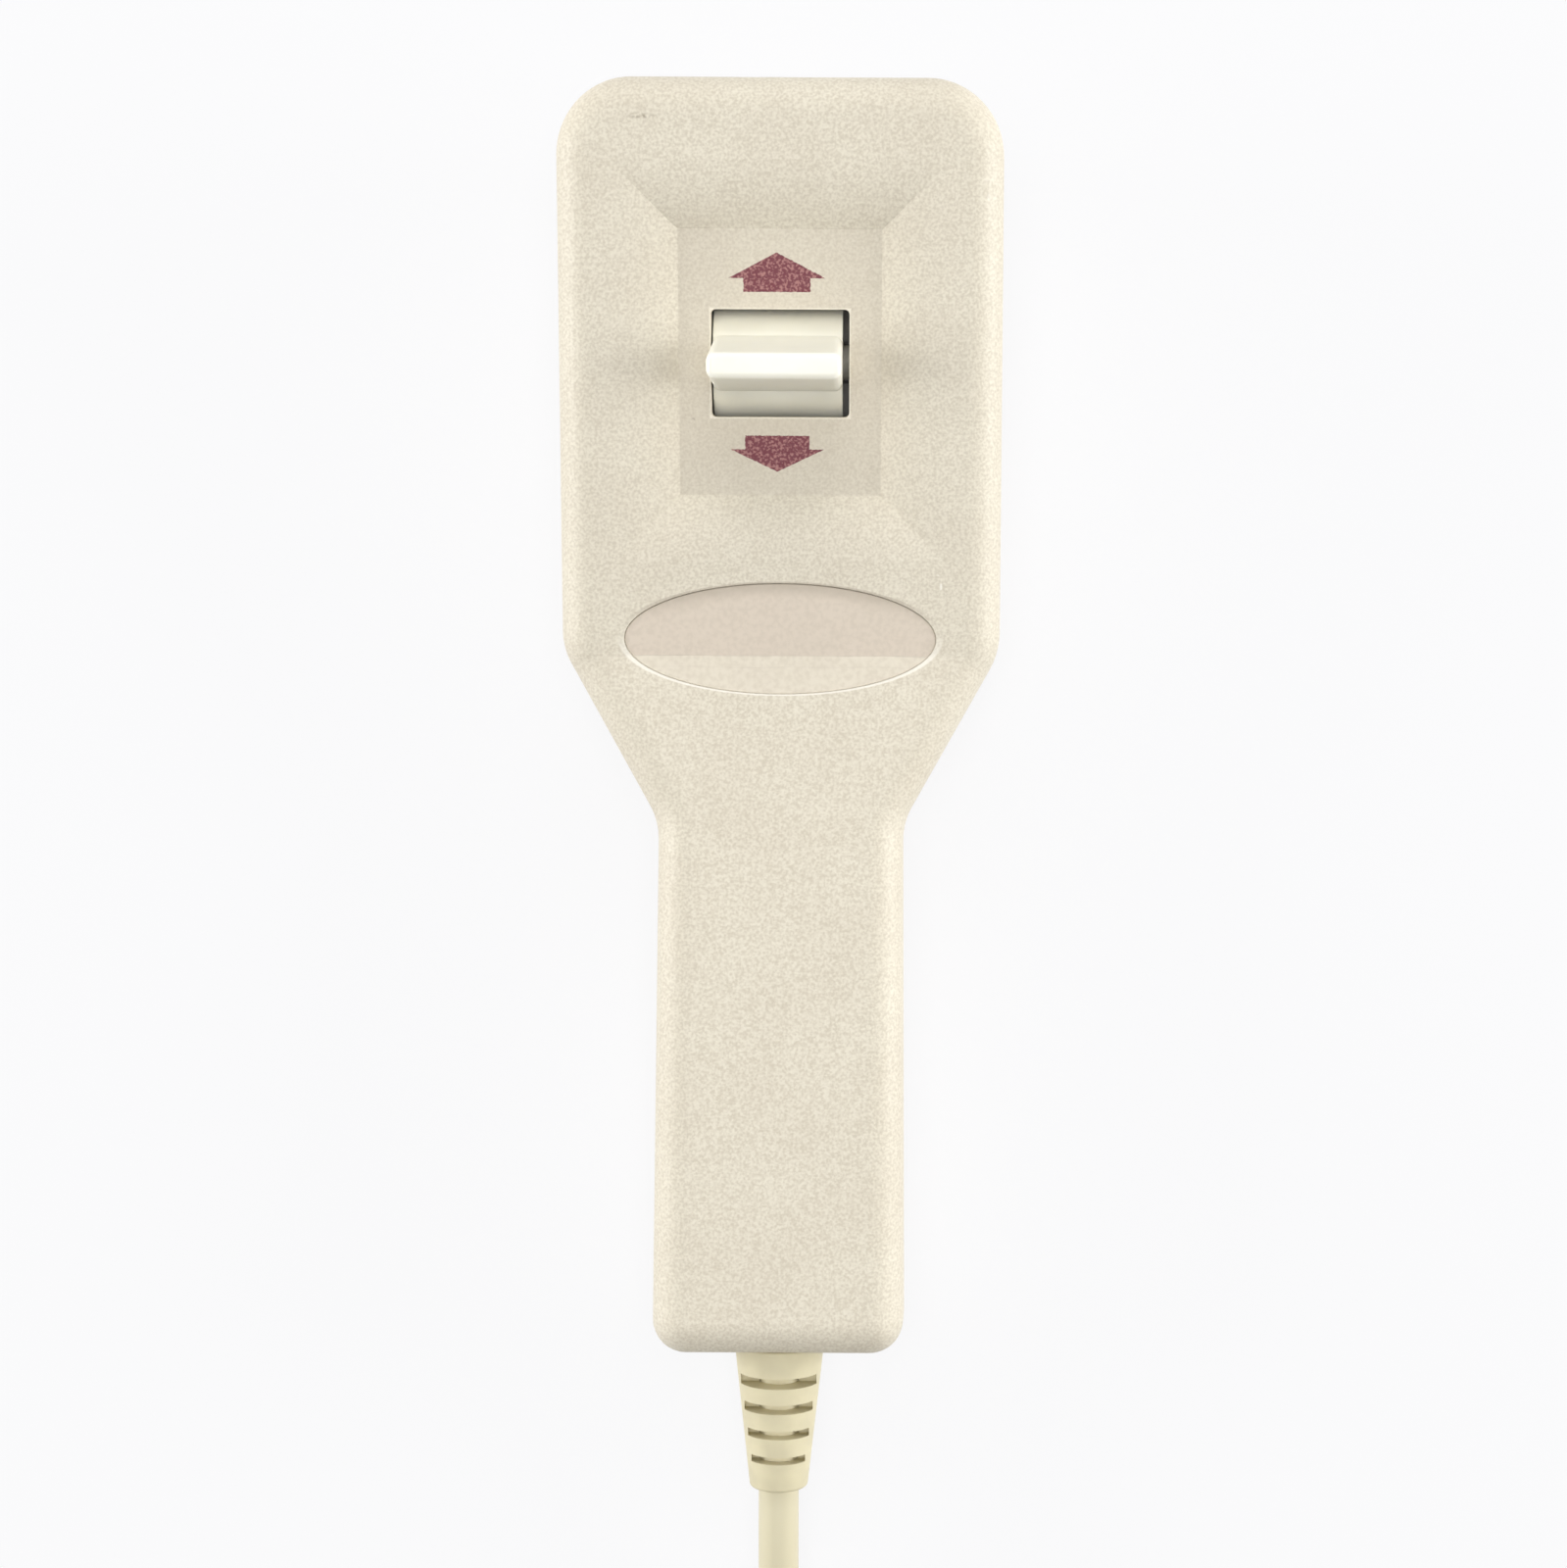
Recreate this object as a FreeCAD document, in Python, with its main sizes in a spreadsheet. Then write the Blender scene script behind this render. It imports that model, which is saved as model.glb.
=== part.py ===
import FreeCAD, Part
import math
import os

import Sketcher
from FreeCAD import Placement, Rotation, Vector

# Hand control of a lift chair, lying on its flat back.
# X runs to the right, Y towards the top of the head, Z out of the front face.
# The origin is in the middle of the back, on the surface it lies on.

doc = FreeCAD.newDocument("lift_chair_hand_control")

# Driving dimensions, in millimetres and degrees.
SIZES = {
    # plan of the moulded housing, at its parting plane
    "head_length": 73.2,
    "head_width": 59.3,
    "shoulder_drop": 23.25,
    "neck_width": 33.3,
    "handle_length": 71.55,
    "end_width": 34.3,
    "head_corner": 9.8,
    "shoulder_corner": 9.0,
    "neck_corner": 9.0,
    "end_corner": 4.5,
    # side view of the housing
    "handle_thickness": 22.0,
    "parting_height": 11.0,
    "crease_offset": 1.1,
    "head_angle": 12.0,
    "crease_blend": 3.0,
    "back_blend": 3.0,
    "back_bend_from_top": 49.0,
    "back_angle": 7.0,
    "front_edge": 4.8,
    "back_edge": 2.8,
    "draft": 2.5,
    "wall": 2.4,
    # joint between the two shells
    "parting_gap": 0.3,
    "lip_height": 2.0,
    "lip_thickness": 1.1,
    "fit_gap": 0.1,
    "shell_screw_x": 22.5,
    "shell_screw_from_top": 12.0,
    "shell_screw_end_x": 11.0,
    "shell_screw_from_end": 27.0,
    "shell_boss": 6.6,
    "shell_screw_thread": 3.0,
    "shell_screw_head": 5.6,
    "shell_screw_head_height": 2.0,
    "shell_screw_length": 10.0,
    "shell_screw_web": 3.5,
    # dished field round the rocker
    "window_from_top": 37.1,
    "recess_depth": 2.2,
    "recess_floor_width": 26.3,
    "recess_floor_length": 34.0,
    "recess_side_run": 5.2,
    "recess_end_run": 4.6,
    "recess_blend": 20.0,
    "recess_fade": 0.2,
    "recess_margin": 3.0,
    "recess_wall": 2.2,
    "window_width": 18.0,
    "window_length": 13.8,
    "window_corner": 0.6,
    # rocker
    "rocker_width": 16.9,
    "rocker_offset": -0.35,
    "drum_radius": 8.5,
    "drum_below_floor": 0.8,
    "drum_shell": 1.6,
    "drum_half_angle": 75.0,
    "rocker_web": 2.4,
    "hub_radius": 2.3,
    "hub_length": 19.2,
    "lever_height": 13.0,
    "lever_base": 6.9,
    "lever_top": 3.1,
    "lever_round": 0.8,
    "lever_end_round": 1.1,
    "tail_length": 4.5,
    "tail_width": 5.0,
    "nose_radius": 1.5,
    "pin_radius": 1.25,
    "pin_play": 0.03,
    "pin_seat": 1.9,
    "saddle_thickness": 3.2,
    "saddle_length": 10.0,
    "saddle_start": 10.0,
    # switches, carrier and board
    "switch_length": 12.8,
    "switch_depth": 6.5,
    "switch_height": 5.8,
    "switch_start": 2.8,
    "switch_top": 2.2,
    "switch_clearance": 0.05,
    "plunger_radius": 0.9,
    "plunger_gap": 0.15,
    "plunger_length": 3.4,
    "plunger_round": 0.5,
    "plunger_travel": 1.0,
    "terminal_pitch": 5.08,
    "terminal_width": 0.9,
    "terminal_thickness": 0.5,
    "terminal_length": 3.4,
    "carrier_width": 41.0,
    "carrier_length": 27.0,
    "trough_width": 20.0,
    "trough_depth": 1.8,
    "tail_slot": 8.0,
    "relief_start": 10.4,
    "relief_width": 4.0,
    "relief_depth": 4.4,
    "carrier_screw_x": 17.2,
    "carrier_screw_y": 10.5,
    "carrier_boss": 5.5,
    "carrier_screw_thread": 2.2,
    "carrier_screw_head": 4.2,
    "carrier_screw_head_height": 1.5,
    "carrier_screw_bite": 3.4,
    "board_thickness": 1.6,
    "board_tongue": 5.5,
    "wire_hole": 1.5,
    "wire_pitch": 3.0,
    "wire_inset": 2.7,
    # label
    "label_width": 41.0,
    "label_length": 14.3,
    "label_from_crease": 2.2,
    "label_recess": 0.5,
    "label_thickness": 0.35,
    "label_margin": 0.15,
    # strain relief
    "relief_base": 12.3,
    "relief_tip": 7.9,
    "relief_length": 19.6,
    "relief_neck": 9.6,
    "relief_flange": 12.4,
    "relief_flange_thickness": 2.4,
    "slot_first": 3.7,
    "slot_pitch": 3.65,
    "slot_height": 1.4,
    "slot_step": 0.13,
    "slot_width": 10.3,
    "slot_narrowing": 1.0,
    "slot_web": 1.8,
    # cord and what holds it inside
    "cord_diameter": 5.5,
    "cord_play": 0.05,
    "cord_inside": 22.0,
    "clamp_from_end": 13.5,
    "clamp_width": 20.0,
    "clamp_length": 6.0,
    "clamp_height": 4.3,
    "cord_saddle_length": 3.0,
    "clamp_screw_x": 7.2,
    "clamp_screw_thread": 2.2,
    "clamp_screw_head": 4.2,
    "clamp_screw_head_height": 1.5,
    "clamp_screw_bite": 5.0,
    "clamp_post": 5.2,
    "wire_radius": 0.65,
    "wire_ring": 1.55,
    # coil, tie and plug at the far end
    "coil_mid_radius": 29.0,
    "coil_turns_across": 4,
    "coil_layers": 2,
    "coil_x": 9.0,
    "coil_from_end": 101.6,
    "coil_entry_turn": 30.0,
    "coil_stub_in": 22.0,
    "coil_stub_out": 27.0,
    "tie_width": 8.0,
    "tie_thickness": 0.8,
    "plug_grip_length": 23.0,
    "plug_grip_neck": 4.6,
    "plug_grip_taper": 6.0,
    "plug_grip_socket": 3.0,
    "plug_sleeve_radius": 6.6,
    "plug_sleeve_wall": 0.5,
    "plug_sleeve_length": 12.5,
    "plug_insert_depth": 2.5,
    "plug_pin_circle": 3.5,
    "plug_pin_radius": 0.72,
    "plug_pin_length": 8.5,
}

# Sizes worked out from the driving ones.
DERIVED = {
    "top_y": "(sizes.head_length + sizes.shoulder_drop + sizes.handle_length) / 2",
    "shoulder_y": "derived.top_y - sizes.head_length",
    "neck_y": "derived.shoulder_y - sizes.shoulder_drop",
    "shoulder_angle": "atan((sizes.head_width - sizes.neck_width) / 2 / sizes.shoulder_drop)",
    "corner_shift": "tan(derived.shoulder_angle / 2)",
    "crease_y": "derived.shoulder_y - sizes.crease_offset",
    "back_bend_y": "derived.top_y - sizes.back_bend_from_top",
    "dish_y": "derived.top_y - sizes.window_from_top",
    "dish_z": "sizes.handle_thickness + (derived.dish_y - derived.crease_y) * tan(sizes.head_angle)",
    "floor_y": "derived.dish_y + sizes.recess_depth * sin(sizes.head_angle)",
    "floor_z": "derived.dish_z - sizes.recess_depth * cos(sizes.head_angle)",
    "pivot_depth": "sizes.drum_radius + sizes.drum_below_floor",
    "pivot_y": "derived.floor_y + derived.pivot_depth * sin(sizes.head_angle)",
    "pivot_z": "derived.floor_z - derived.pivot_depth * cos(sizes.head_angle)",
    "carrier_top": "sizes.pin_radius + sizes.switch_clearance",
    "seat_depth": "derived.pivot_depth + derived.carrier_top",
    "board_top": "sizes.switch_top + sizes.switch_height",
    "screw_top_y": "derived.top_y - sizes.shell_screw_from_top",
    "screw_end_y": "sizes.shell_screw_from_end - derived.top_y",
    "screw_seat": "sizes.parting_height - sizes.shell_screw_web",
    "label_y": "derived.crease_y + sizes.label_from_crease",
    "cord_radius": "sizes.cord_diameter / 2",
    "cord_bore": "sizes.cord_diameter / 2 + sizes.cord_play",
    "clamp_y": "sizes.clamp_from_end - derived.top_y",
    "coil_reach": "sizes.coil_mid_radius + (sizes.coil_turns_across - 1) / 2 * sizes.cord_diameter",
    "coil_y": "-derived.top_y - sizes.coil_from_end",
    "coil_height": "sizes.coil_layers * sizes.cord_diameter",
    "coil_half_width": "sizes.coil_turns_across * sizes.cord_diameter / 2",
    "coil_exit_z": "(sizes.coil_layers - 0.5) * sizes.cord_diameter",
    "plug_grip_radius": "derived.coil_exit_z",
}

OPEN_END = 10.0
FAR = 80.0
BEYOND = 1.0


def make_sheet(name, cells):
    """A sheet with one named cell a row."""
    sheet = doc.addObject("Spreadsheet::Sheet", name)
    for row, (alias, content) in enumerate(cells.items(), start=1):
        sheet.set(f"A{row}", alias)
        sheet.set(f"B{row}", content)
        sheet.setAlias(f"B{row}", alias)
    return sheet


sizes = make_sheet("sizes", {name: str(number) for name, number in SIZES.items()})
derived = make_sheet("derived", {name: "=" + formula for name, formula in DERIVED.items()})
doc.recompute()


def value(expression):
    """The number that an expression over the two sheets stands for."""
    return float(sizes.evalExpression(str(expression)))


def bind(thing, **expressions):
    """Ties properties of an object to expressions; an underscore in a name stands for a dot."""
    for name, expression in expressions.items():
        thing.setExpression(name.replace("_", "."), str(expression))


# Places that whole pieces are set in.
FLOOR = ("derived.floor_y", "derived.floor_z")
PIVOT = ("derived.pivot_y", "derived.pivot_z")


def tilt(thing, place, across="0"):
    """Sets an object in the tilted frame of the head, with its origin at a place on the middle plane."""
    thing.Placement = Placement(Vector(), Rotation(Vector(1, 0, 0), 1))
    thing.setExpression("Placement.Base.x", across)
    thing.setExpression("Placement.Base.y", place[0])
    thing.setExpression("Placement.Base.z", place[1])
    thing.setExpression("Placement.Rotation.Angle", "sizes.head_angle")


def new_body(label):
    """An empty body with its own label."""
    body = doc.addObject("PartDesign::Body", label)
    body.Label = label
    return body


def origin_plane(body, role):
    return [feature for feature in body.Origin.OriginFeatures if feature.Role == role][0]


def new_sketch(body, name, role, level="0"):
    """A sketch on one of a body's origin planes, moved along that plane's normal."""
    sketch = body.newObject("Sketcher::SketchObject", name)
    sketch.AttachmentSupport = [(origin_plane(body, role), "")]
    sketch.MapMode = "FlatFace"
    sketch.setExpression("AttachmentOffset.Base.z", str(level))
    return sketch


def add_polygon(sketch, corners):
    """A closed outline whose corners are pairs of expressions."""
    points = [Vector(value(x), value(y), 0) for x, y in corners]
    first = sketch.GeometryCount
    count = len(points)
    for number in range(count):
        sketch.addGeometry(Part.LineSegment(points[number], points[(number + 1) % count]))
    for number in range(count):
        following = first + (number + 1) % count
        sketch.addConstraint(Sketcher.Constraint("Coincident", first + number, 2, following, 1))
    for number, corner in enumerate(corners):
        for kind, expression, start in zip(("DistanceX", "DistanceY"), corner, points[number]):
            index = sketch.addConstraint(Sketcher.Constraint(kind, -1, 1, first + number, 1, start))
            sketch.setExpression(f"Constraints[{index}]", str(expression))


def add_sweep(body, kind, name, sketch, length, midplane=False, backwards=False, taper=None):
    """A Pad or Pocket of a sketch."""
    feature = body.newObject(f"PartDesign::{kind}", name)
    feature.Profile = sketch
    feature.setExpression("Length", str(length))
    feature.Midplane = midplane
    feature.Reversed = backwards
    if taper:
        feature.setExpression("TaperAngle", taper)
    doc.recompute()
    return feature


def pad(body, name, sketch, length, **options):
    return add_sweep(body, "Pad", name, sketch, length, **options)


def pocket(body, name, sketch, length, **options):
    return add_sweep(body, "Pocket", name, sketch, length, **options)


def box(body, kind, name, low, high):
    """An Additive or Subtractive box between two corners given as expressions."""
    feature = body.newObject(f"PartDesign::{kind}Box", name)
    for side, axis, start, end in zip(("Length", "Width", "Height"), "xyz", low, high):
        feature.setExpression(side, f"({end}) - ({start})")
        feature.setExpression(f"Placement.Base.{axis}", str(start))
    return feature


TURNS = {
    "x": Rotation(Vector(0, 1, 0), 90),
    "y": Rotation(Vector(1, 0, 0), -90),
    "z": Rotation(),
}


def cylinder(body, kind, name, axis, start, radius, length):
    """An Additive or Subtractive cylinder that runs along +axis from a start point."""
    feature = body.newObject(f"PartDesign::{kind}Cylinder", name)
    feature.Placement = Placement(Vector(), TURNS[axis])
    for letter, expression in zip("xyz", start):
        feature.setExpression(f"Placement.Base.{letter}", str(expression))
    feature.setExpression("Radius", str(radius))
    feature.setExpression("Height", str(length))
    return feature


def edge_names(shape, wanted):
    return [f"Edge{number}" for number, edge in enumerate(shape.Edges, start=1) if wanted(edge)]


def round_edges(body, name, radius, wanted, kind="Fillet"):
    """A Fillet or Chamfer on the edges of a body that a test picks."""
    doc.recompute()
    base = body.Tip
    feature = body.newObject(f"PartDesign::{kind}", name)
    feature.Base = (base, edge_names(base.Shape, wanted))
    feature.setExpression("Radius" if kind == "Fillet" else "Size", str(radius))
    doc.recompute()
    return feature


def combine(kind, name, base, tool):
    """A Cut or Common of two objects."""
    feature = doc.addObject(f"Part::{kind}", name)
    feature.Base = base
    feature.Tool = tool
    feature.Refine = True
    return feature


def fuse(name, *pieces):
    feature = doc.addObject("Part::MultiFuse", name)
    feature.Shapes = list(pieces)
    feature.Refine = True
    return feature


# The housing's plan.
def outline_corners(inset):
    """Corners of the housing's plan, inside its edge by an inset, anticlockwise from the top right."""
    head = f"(sizes.head_width / 2 - ({inset}))"
    neck = f"(sizes.neck_width / 2 - ({inset}))"
    end = f"(sizes.end_width / 2 - ({inset}))"
    top = f"derived.top_y - ({inset})"
    shoulder = f"derived.shoulder_y + ({inset}) * derived.corner_shift"
    waist = f"derived.neck_y + ({inset}) * derived.corner_shift"
    bottom = f"({inset}) - derived.top_y"
    right = [(end, bottom), (neck, waist), (head, shoulder), (head, top)]
    left = [("-" + x, y) for x, y in reversed(right)]
    return right + left


def outline_prism(name, inset, level, height, tapered=True, down=False):
    """The housing's plan as a prism with rounded corners, drafted from its starting level."""
    body = new_body(name)
    corners = outline_corners(inset)
    sketch = new_sketch(body, name + "_plan", "XY_Plane", level)
    add_polygon(sketch, corners)
    taper = "-sizes.draft" if tapered else None
    pad(body, name + "_prism", sketch, height, backwards=down, taper=taper)
    start = value(level)
    radii = {
        "end": (corners[0], f"sizes.end_corner - ({inset})"),
        "neck": (corners[1], f"sizes.neck_corner + ({inset})"),
        "shoulder": (corners[2], f"sizes.shoulder_corner - ({inset})"),
        "head": (corners[3], f"sizes.head_corner - ({inset})"),
    }
    for corner, (place, radius) in radii.items():
        foot = (value(place[0]), value(place[1]))

        def upright(edge, foot=foot):
            ends = [vertex.Point for vertex in edge.Vertexes]
            low = [p for p in ends if abs(p.z - start) < 1e-3]
            if len(ends) < 2 or len(low) != 1:
                return False
            return math.hypot(abs(low[0].x) - foot[0], low[0].y - foot[1]) < 0.01

        round_edges(body, f"{name}_{corner}", radius, upright)
    return body


def front_line(depth):
    """The front surface in side view, sunk by a depth: its end, crease and top as pairs."""
    start = f"-derived.top_y - {OPEN_END}"
    crease = f"derived.crease_y + ({depth}) * tan(sizes.head_angle / 2)"
    end = f"derived.top_y + {OPEN_END}"
    level = f"sizes.handle_thickness - ({depth})"
    rise = f"{level} + ({end} - ({crease})) * tan(sizes.head_angle)"
    return [(start, level), (crease, level), (end, rise)]


def back_line(depth):
    """The back surface in side view, raised by a depth."""
    start = f"-derived.top_y - {OPEN_END}"
    bend = f"derived.back_bend_y - ({depth}) * tan(sizes.back_angle / 2)"
    end = f"derived.top_y + {OPEN_END}"
    rise = f"({depth}) + ({end} - ({bend})) * tan(sizes.back_angle)"
    return [(start, str(depth)), (bend, str(depth)), (end, rise)]


def side_region(line, level):
    """The region of the side view between a line and a level beyond it."""
    return line + [(line[-1][0], level), (line[0][0], level)]


def flat_perimeter(shape, upward):
    """Edges where faces that look up, or down, meet the sides."""
    seen = []
    for face in shape.Faces:
        middle = face.Surface.parameter(face.CenterOfMass)
        normal = face.normalAt(*middle)
        if normal.z * upward > 0.9:
            seen.extend(face.Edges)
    return [edge for edge in seen if sum(edge.isSame(other) for other in seen) == 1]


def shape_half(name, inset, level, height, line, far, blend, edge_radius, down=False):
    """One half of the housing's form: prism, side profile and rounded outer edge."""
    body = outline_prism(name, inset, level, height, down=down)
    sketch = new_sketch(body, name + "_side", "YZ_Plane")
    add_polygon(sketch, side_region(line, far))
    pocket(body, name + "_profile", sketch, 2 * FAR, midplane=True)
    bend = Vector(0, value(line[1][0]), value(line[1][1]))

    def crease(edge):
        points = [vertex.Point for vertex in edge.Vertexes]
        return all(math.hypot(p.y - bend.y, p.z - bend.z) < 0.01 for p in points)

    round_edges(body, name + "_bend", blend, crease)
    rim = flat_perimeter(body.Tip.Shape, -1 if down else 1)
    round_edges(body, name + "_edge", edge_radius, lambda edge: any(edge.isSame(r) for r in rim))
    return body


FORM_TOP = f"sizes.handle_thickness + {FAR}"
FORM_BOTTOM = f"-{FAR}"
FORM_HEIGHT = f"{FAR} / 2"
FRONT_LEVEL = "(sizes.parting_height + sizes.parting_gap / 2)"
BACK_LEVEL = "(sizes.parting_height - sizes.parting_gap / 2)"
SCREW_PLACES = [
    (f"{side}sizes.shell_screw_{across}", f"derived.screw_{row}_y")
    for row, across in (("top", "x"), ("end", "end_x"))
    for side in ("", "-")
]
CORNER_SIGNS = [("", ""), ("-", ""), ("-", "-"), ("", "-")]
CARRIER_SCREWS = [(f"{a}sizes.carrier_screw_x", f"{b}sizes.carrier_screw_y") for a, b in CORNER_SIGNS]


def lip_ring(name, outer, inner, level, height):
    """A ring that follows the housing's wall between two insets."""
    outside = outline_prism(name + "_outside", outer, level, height, tapered=False)
    inside = outline_prism(name + "_inside", inner, level, height, tapered=False)
    return combine("Cut", name, outside, inside)


def posts(name, places, low, radius, length):
    """Upright cylinders at places given as pairs of expressions, from one level."""
    body = new_body(name)
    for number, (x, y) in enumerate(places, start=1):
        cylinder(body, "Additive", f"{name}_{number}", "z", (x, y, low), radius, length)
    return body


def make_dish():
    """The sunk field round the rocker: two crossing troughs with softened rims."""
    runs = {
        "across": ("XZ_Plane", "sizes.recess_floor_width / 2", "sizes.recess_side_run"),
        "along": ("YZ_Plane", "sizes.recess_floor_length / 2", "sizes.recess_end_run"),
    }
    troughs = []
    for name, (plane, half, run) in runs.items():
        body = new_body(f"dish_{name}")
        knee = f"({half} + {run})"
        edge = f"({knee} + {OPEN_END})"
        lift = f"sizes.recess_depth + {OPEN_END} * tan(sizes.recess_fade)"
        right = [(half, "0"), (knee, "sizes.recess_depth"), (edge, lift), (edge, f"{FAR} / 4")]
        left = [("-" + x, y) for x, y in reversed(right)]
        sketch = new_sketch(body, f"dish_{name}_side", plane)
        add_polygon(sketch, right + left)
        pad(body, f"dish_{name}_trough", sketch, FAR, midplane=True)
        reach, depth = value(knee), value("sizes.recess_depth")

        def rim(line, reach=reach, depth=depth, plane=plane):
            points = [vertex.Point for vertex in line.Vertexes]
            across = [abs(p.x if plane == "XZ_Plane" else p.y) for p in points]
            return all(abs(a - reach) < 0.01 and abs(p.z - depth) < 0.01 for a, p in zip(across, points))

        round_edges(body, f"dish_{name}_rim", "sizes.recess_blend", rim)
        troughs.append(body)
    dish = combine("Common", "dish", *troughs)
    tilt(dish, FLOOR)
    return dish


def make_window():
    """The opening in the floor of the dish that the rocker stands in."""
    body = new_body("window")
    half = ("sizes.window_width / 2", "sizes.window_length / 2")
    low = [f"-{half[0]}", f"-{half[1]}", f"-sizes.recess_wall - {BEYOND}"]
    box(body, "Additive", "window_hole", low, [*half, str(BEYOND)])
    round_edges(body, "window_corners", "sizes.window_corner", lambda edge: stands(edge, "z"))
    tilt(body, FLOOR)
    return body


def stands(edge, axis):
    """Whether an edge runs straight along one axis."""
    ends = [vertex.Point for vertex in edge.Vertexes]
    others = [letter for letter in "xyz" if letter != axis]
    return len(ends) == 2 and all(
        abs(getattr(ends[0], letter) - getattr(ends[1], letter)) < 1e-6 for letter in others)


def make_front_inner():
    """What stands inside the front shell in the head's frame: dish floor, saddles and carrier posts."""
    body = new_body("front_inner")
    reach = {
        "x": "(sizes.recess_floor_width / 2 + sizes.recess_side_run + sizes.recess_margin)",
        "y": "(sizes.recess_floor_length / 2 + sizes.recess_end_run + sizes.recess_margin)",
    }
    low = ["-" + reach["x"], "-" + reach["y"], "-sizes.recess_wall"]
    box(body, "Additive", "dish_floor", low, [reach["x"], reach["y"], f"{OPEN_END}"])
    near = "sizes.saddle_start"
    far = "(sizes.saddle_start + sizes.saddle_thickness)"
    for name, left, right in (("right", near, far), ("left", "-" + far, "-" + near)):
        low = [left, "-sizes.saddle_length / 2", "-derived.seat_depth"]
        box(body, "Additive", f"saddle_{name}", low, [right, "sizes.saddle_length / 2", "0"])
    for number, (x, y) in enumerate(CARRIER_SCREWS, start=1):
        start = (x, y, "-derived.seat_depth")
        cylinder(body, "Additive", f"carrier_post_{number}", "z", start,
                 "sizes.carrier_boss / 2", "derived.seat_depth")
    tilt(body, FLOOR)
    return body


def make_front_holes():
    """Pin seats and screw holes in the head's frame."""
    body = new_body("front_holes")
    seat = "(sizes.saddle_start + sizes.pin_seat)"
    hole = "(sizes.pin_radius + sizes.pin_play)"
    depth = "derived.pivot_depth"
    cylinder(body, "Additive", "pin_seat", "x", (f"-{seat}", "0", f"-{depth}"), hole, f"2 * {seat}")
    low = [f"-{seat}", f"-{hole}", f"-derived.seat_depth - {BEYOND}"]
    box(body, "Additive", "pin_slot", low, [seat, hole, f"-{depth}"])
    for number, (x, y) in enumerate(CARRIER_SCREWS, start=1):
        start = (x, y, f"-derived.seat_depth - {BEYOND}")
        cylinder(body, "Additive", f"carrier_pilot_{number}", "z", start,
                 "sizes.carrier_screw_thread / 2 + sizes.pin_play",
                 f"sizes.carrier_screw_bite + 2 * {BEYOND}")
    tilt(body, FLOOR)
    return body


def end_hole(name):
    """The round hole through the end wall that the strain relief's neck sits in."""
    body = new_body(name)
    start = ("0", f"-derived.top_y - {BEYOND}", "sizes.parting_height")
    cylinder(body, "Additive", name + "_bore", "y", start, "sizes.relief_neck / 2 + sizes.fit_gap",
             f"sizes.wall + 2 * {BEYOND}")
    return body


def label_prism(name, margin):
    """An upright prism on the label's oval."""
    oval = doc.addObject("Part::Ellipse", name + "_oval")
    oval.setExpression("MajorRadius", f"sizes.label_width / 2 + {margin}")
    oval.setExpression("MinorRadius", f"sizes.label_length / 2 + {margin}")
    oval.setExpression("Placement.Base.y", "derived.label_y")
    prism = doc.addObject("Part::Extrusion", name + "_prism")
    prism.Base = oval
    prism.Dir = Vector(0, 0, 1)
    prism.LengthFwd = FAR
    prism.Solid = True
    return prism


def side_slab(name, corners):
    """A slab across the whole housing with a side view given by its corners."""
    body = new_body(name)
    sketch = new_sketch(body, name + "_side", "YZ_Plane")
    add_polygon(sketch, corners)
    pad(body, name + "_slab", sketch, 2 * FAR, midplane=True)
    return body


def make_front_shell():
    form = shape_half("front_form", "0", FRONT_LEVEL, FORM_HEIGHT, front_line("0"), FORM_TOP,
                      "sizes.crease_blend", "sizes.front_edge")
    core = shape_half("front_core", "sizes.wall", FRONT_LEVEL, FORM_HEIGHT, front_line("sizes.wall"),
                      FORM_TOP, "sizes.crease_blend + sizes.wall", "sizes.front_edge - sizes.wall")
    inner = fuse("front_standing", make_front_inner(),
                 posts("front_posts", SCREW_PLACES, FRONT_LEVEL, "sizes.shell_boss / 2", FORM_HEIGHT))
    hollow = combine("Cut", "front_hollow", core, inner)
    open_shell = combine("Cut", "front_open", form, hollow)
    feet = posts("front_feet", SCREW_PLACES, BACK_LEVEL, "sizes.shell_boss / 2",
                 f"sizes.parting_gap + {BEYOND}")
    body = fuse("front_body", open_shell, feet)
    rebate = lip_ring("rebate", "sizes.wall - sizes.lip_thickness - sizes.fit_gap",
                      "sizes.wall + 2 * sizes.fit_gap", FRONT_LEVEL, "sizes.lip_height + sizes.fit_gap")
    pilots = posts("front_pilots", SCREW_PLACES, BACK_LEVEL, "sizes.shell_screw_thread / 2 + sizes.pin_play",
                   f"sizes.shell_screw_length - sizes.shell_screw_web + {BEYOND}")
    over_label = side_slab("over_label", side_region(front_line("sizes.label_recess"), FORM_TOP))
    label_seat = combine("Common", "label_seat", label_prism("label_seat", "sizes.label_margin"), over_label)
    cuts = fuse("front_cuts", rebate, pilots, label_seat, make_dish(), make_window(),
                make_front_holes(), end_hole("front_end_hole"))
    return combine("Cut", "front_shell", body, cuts)


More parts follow.
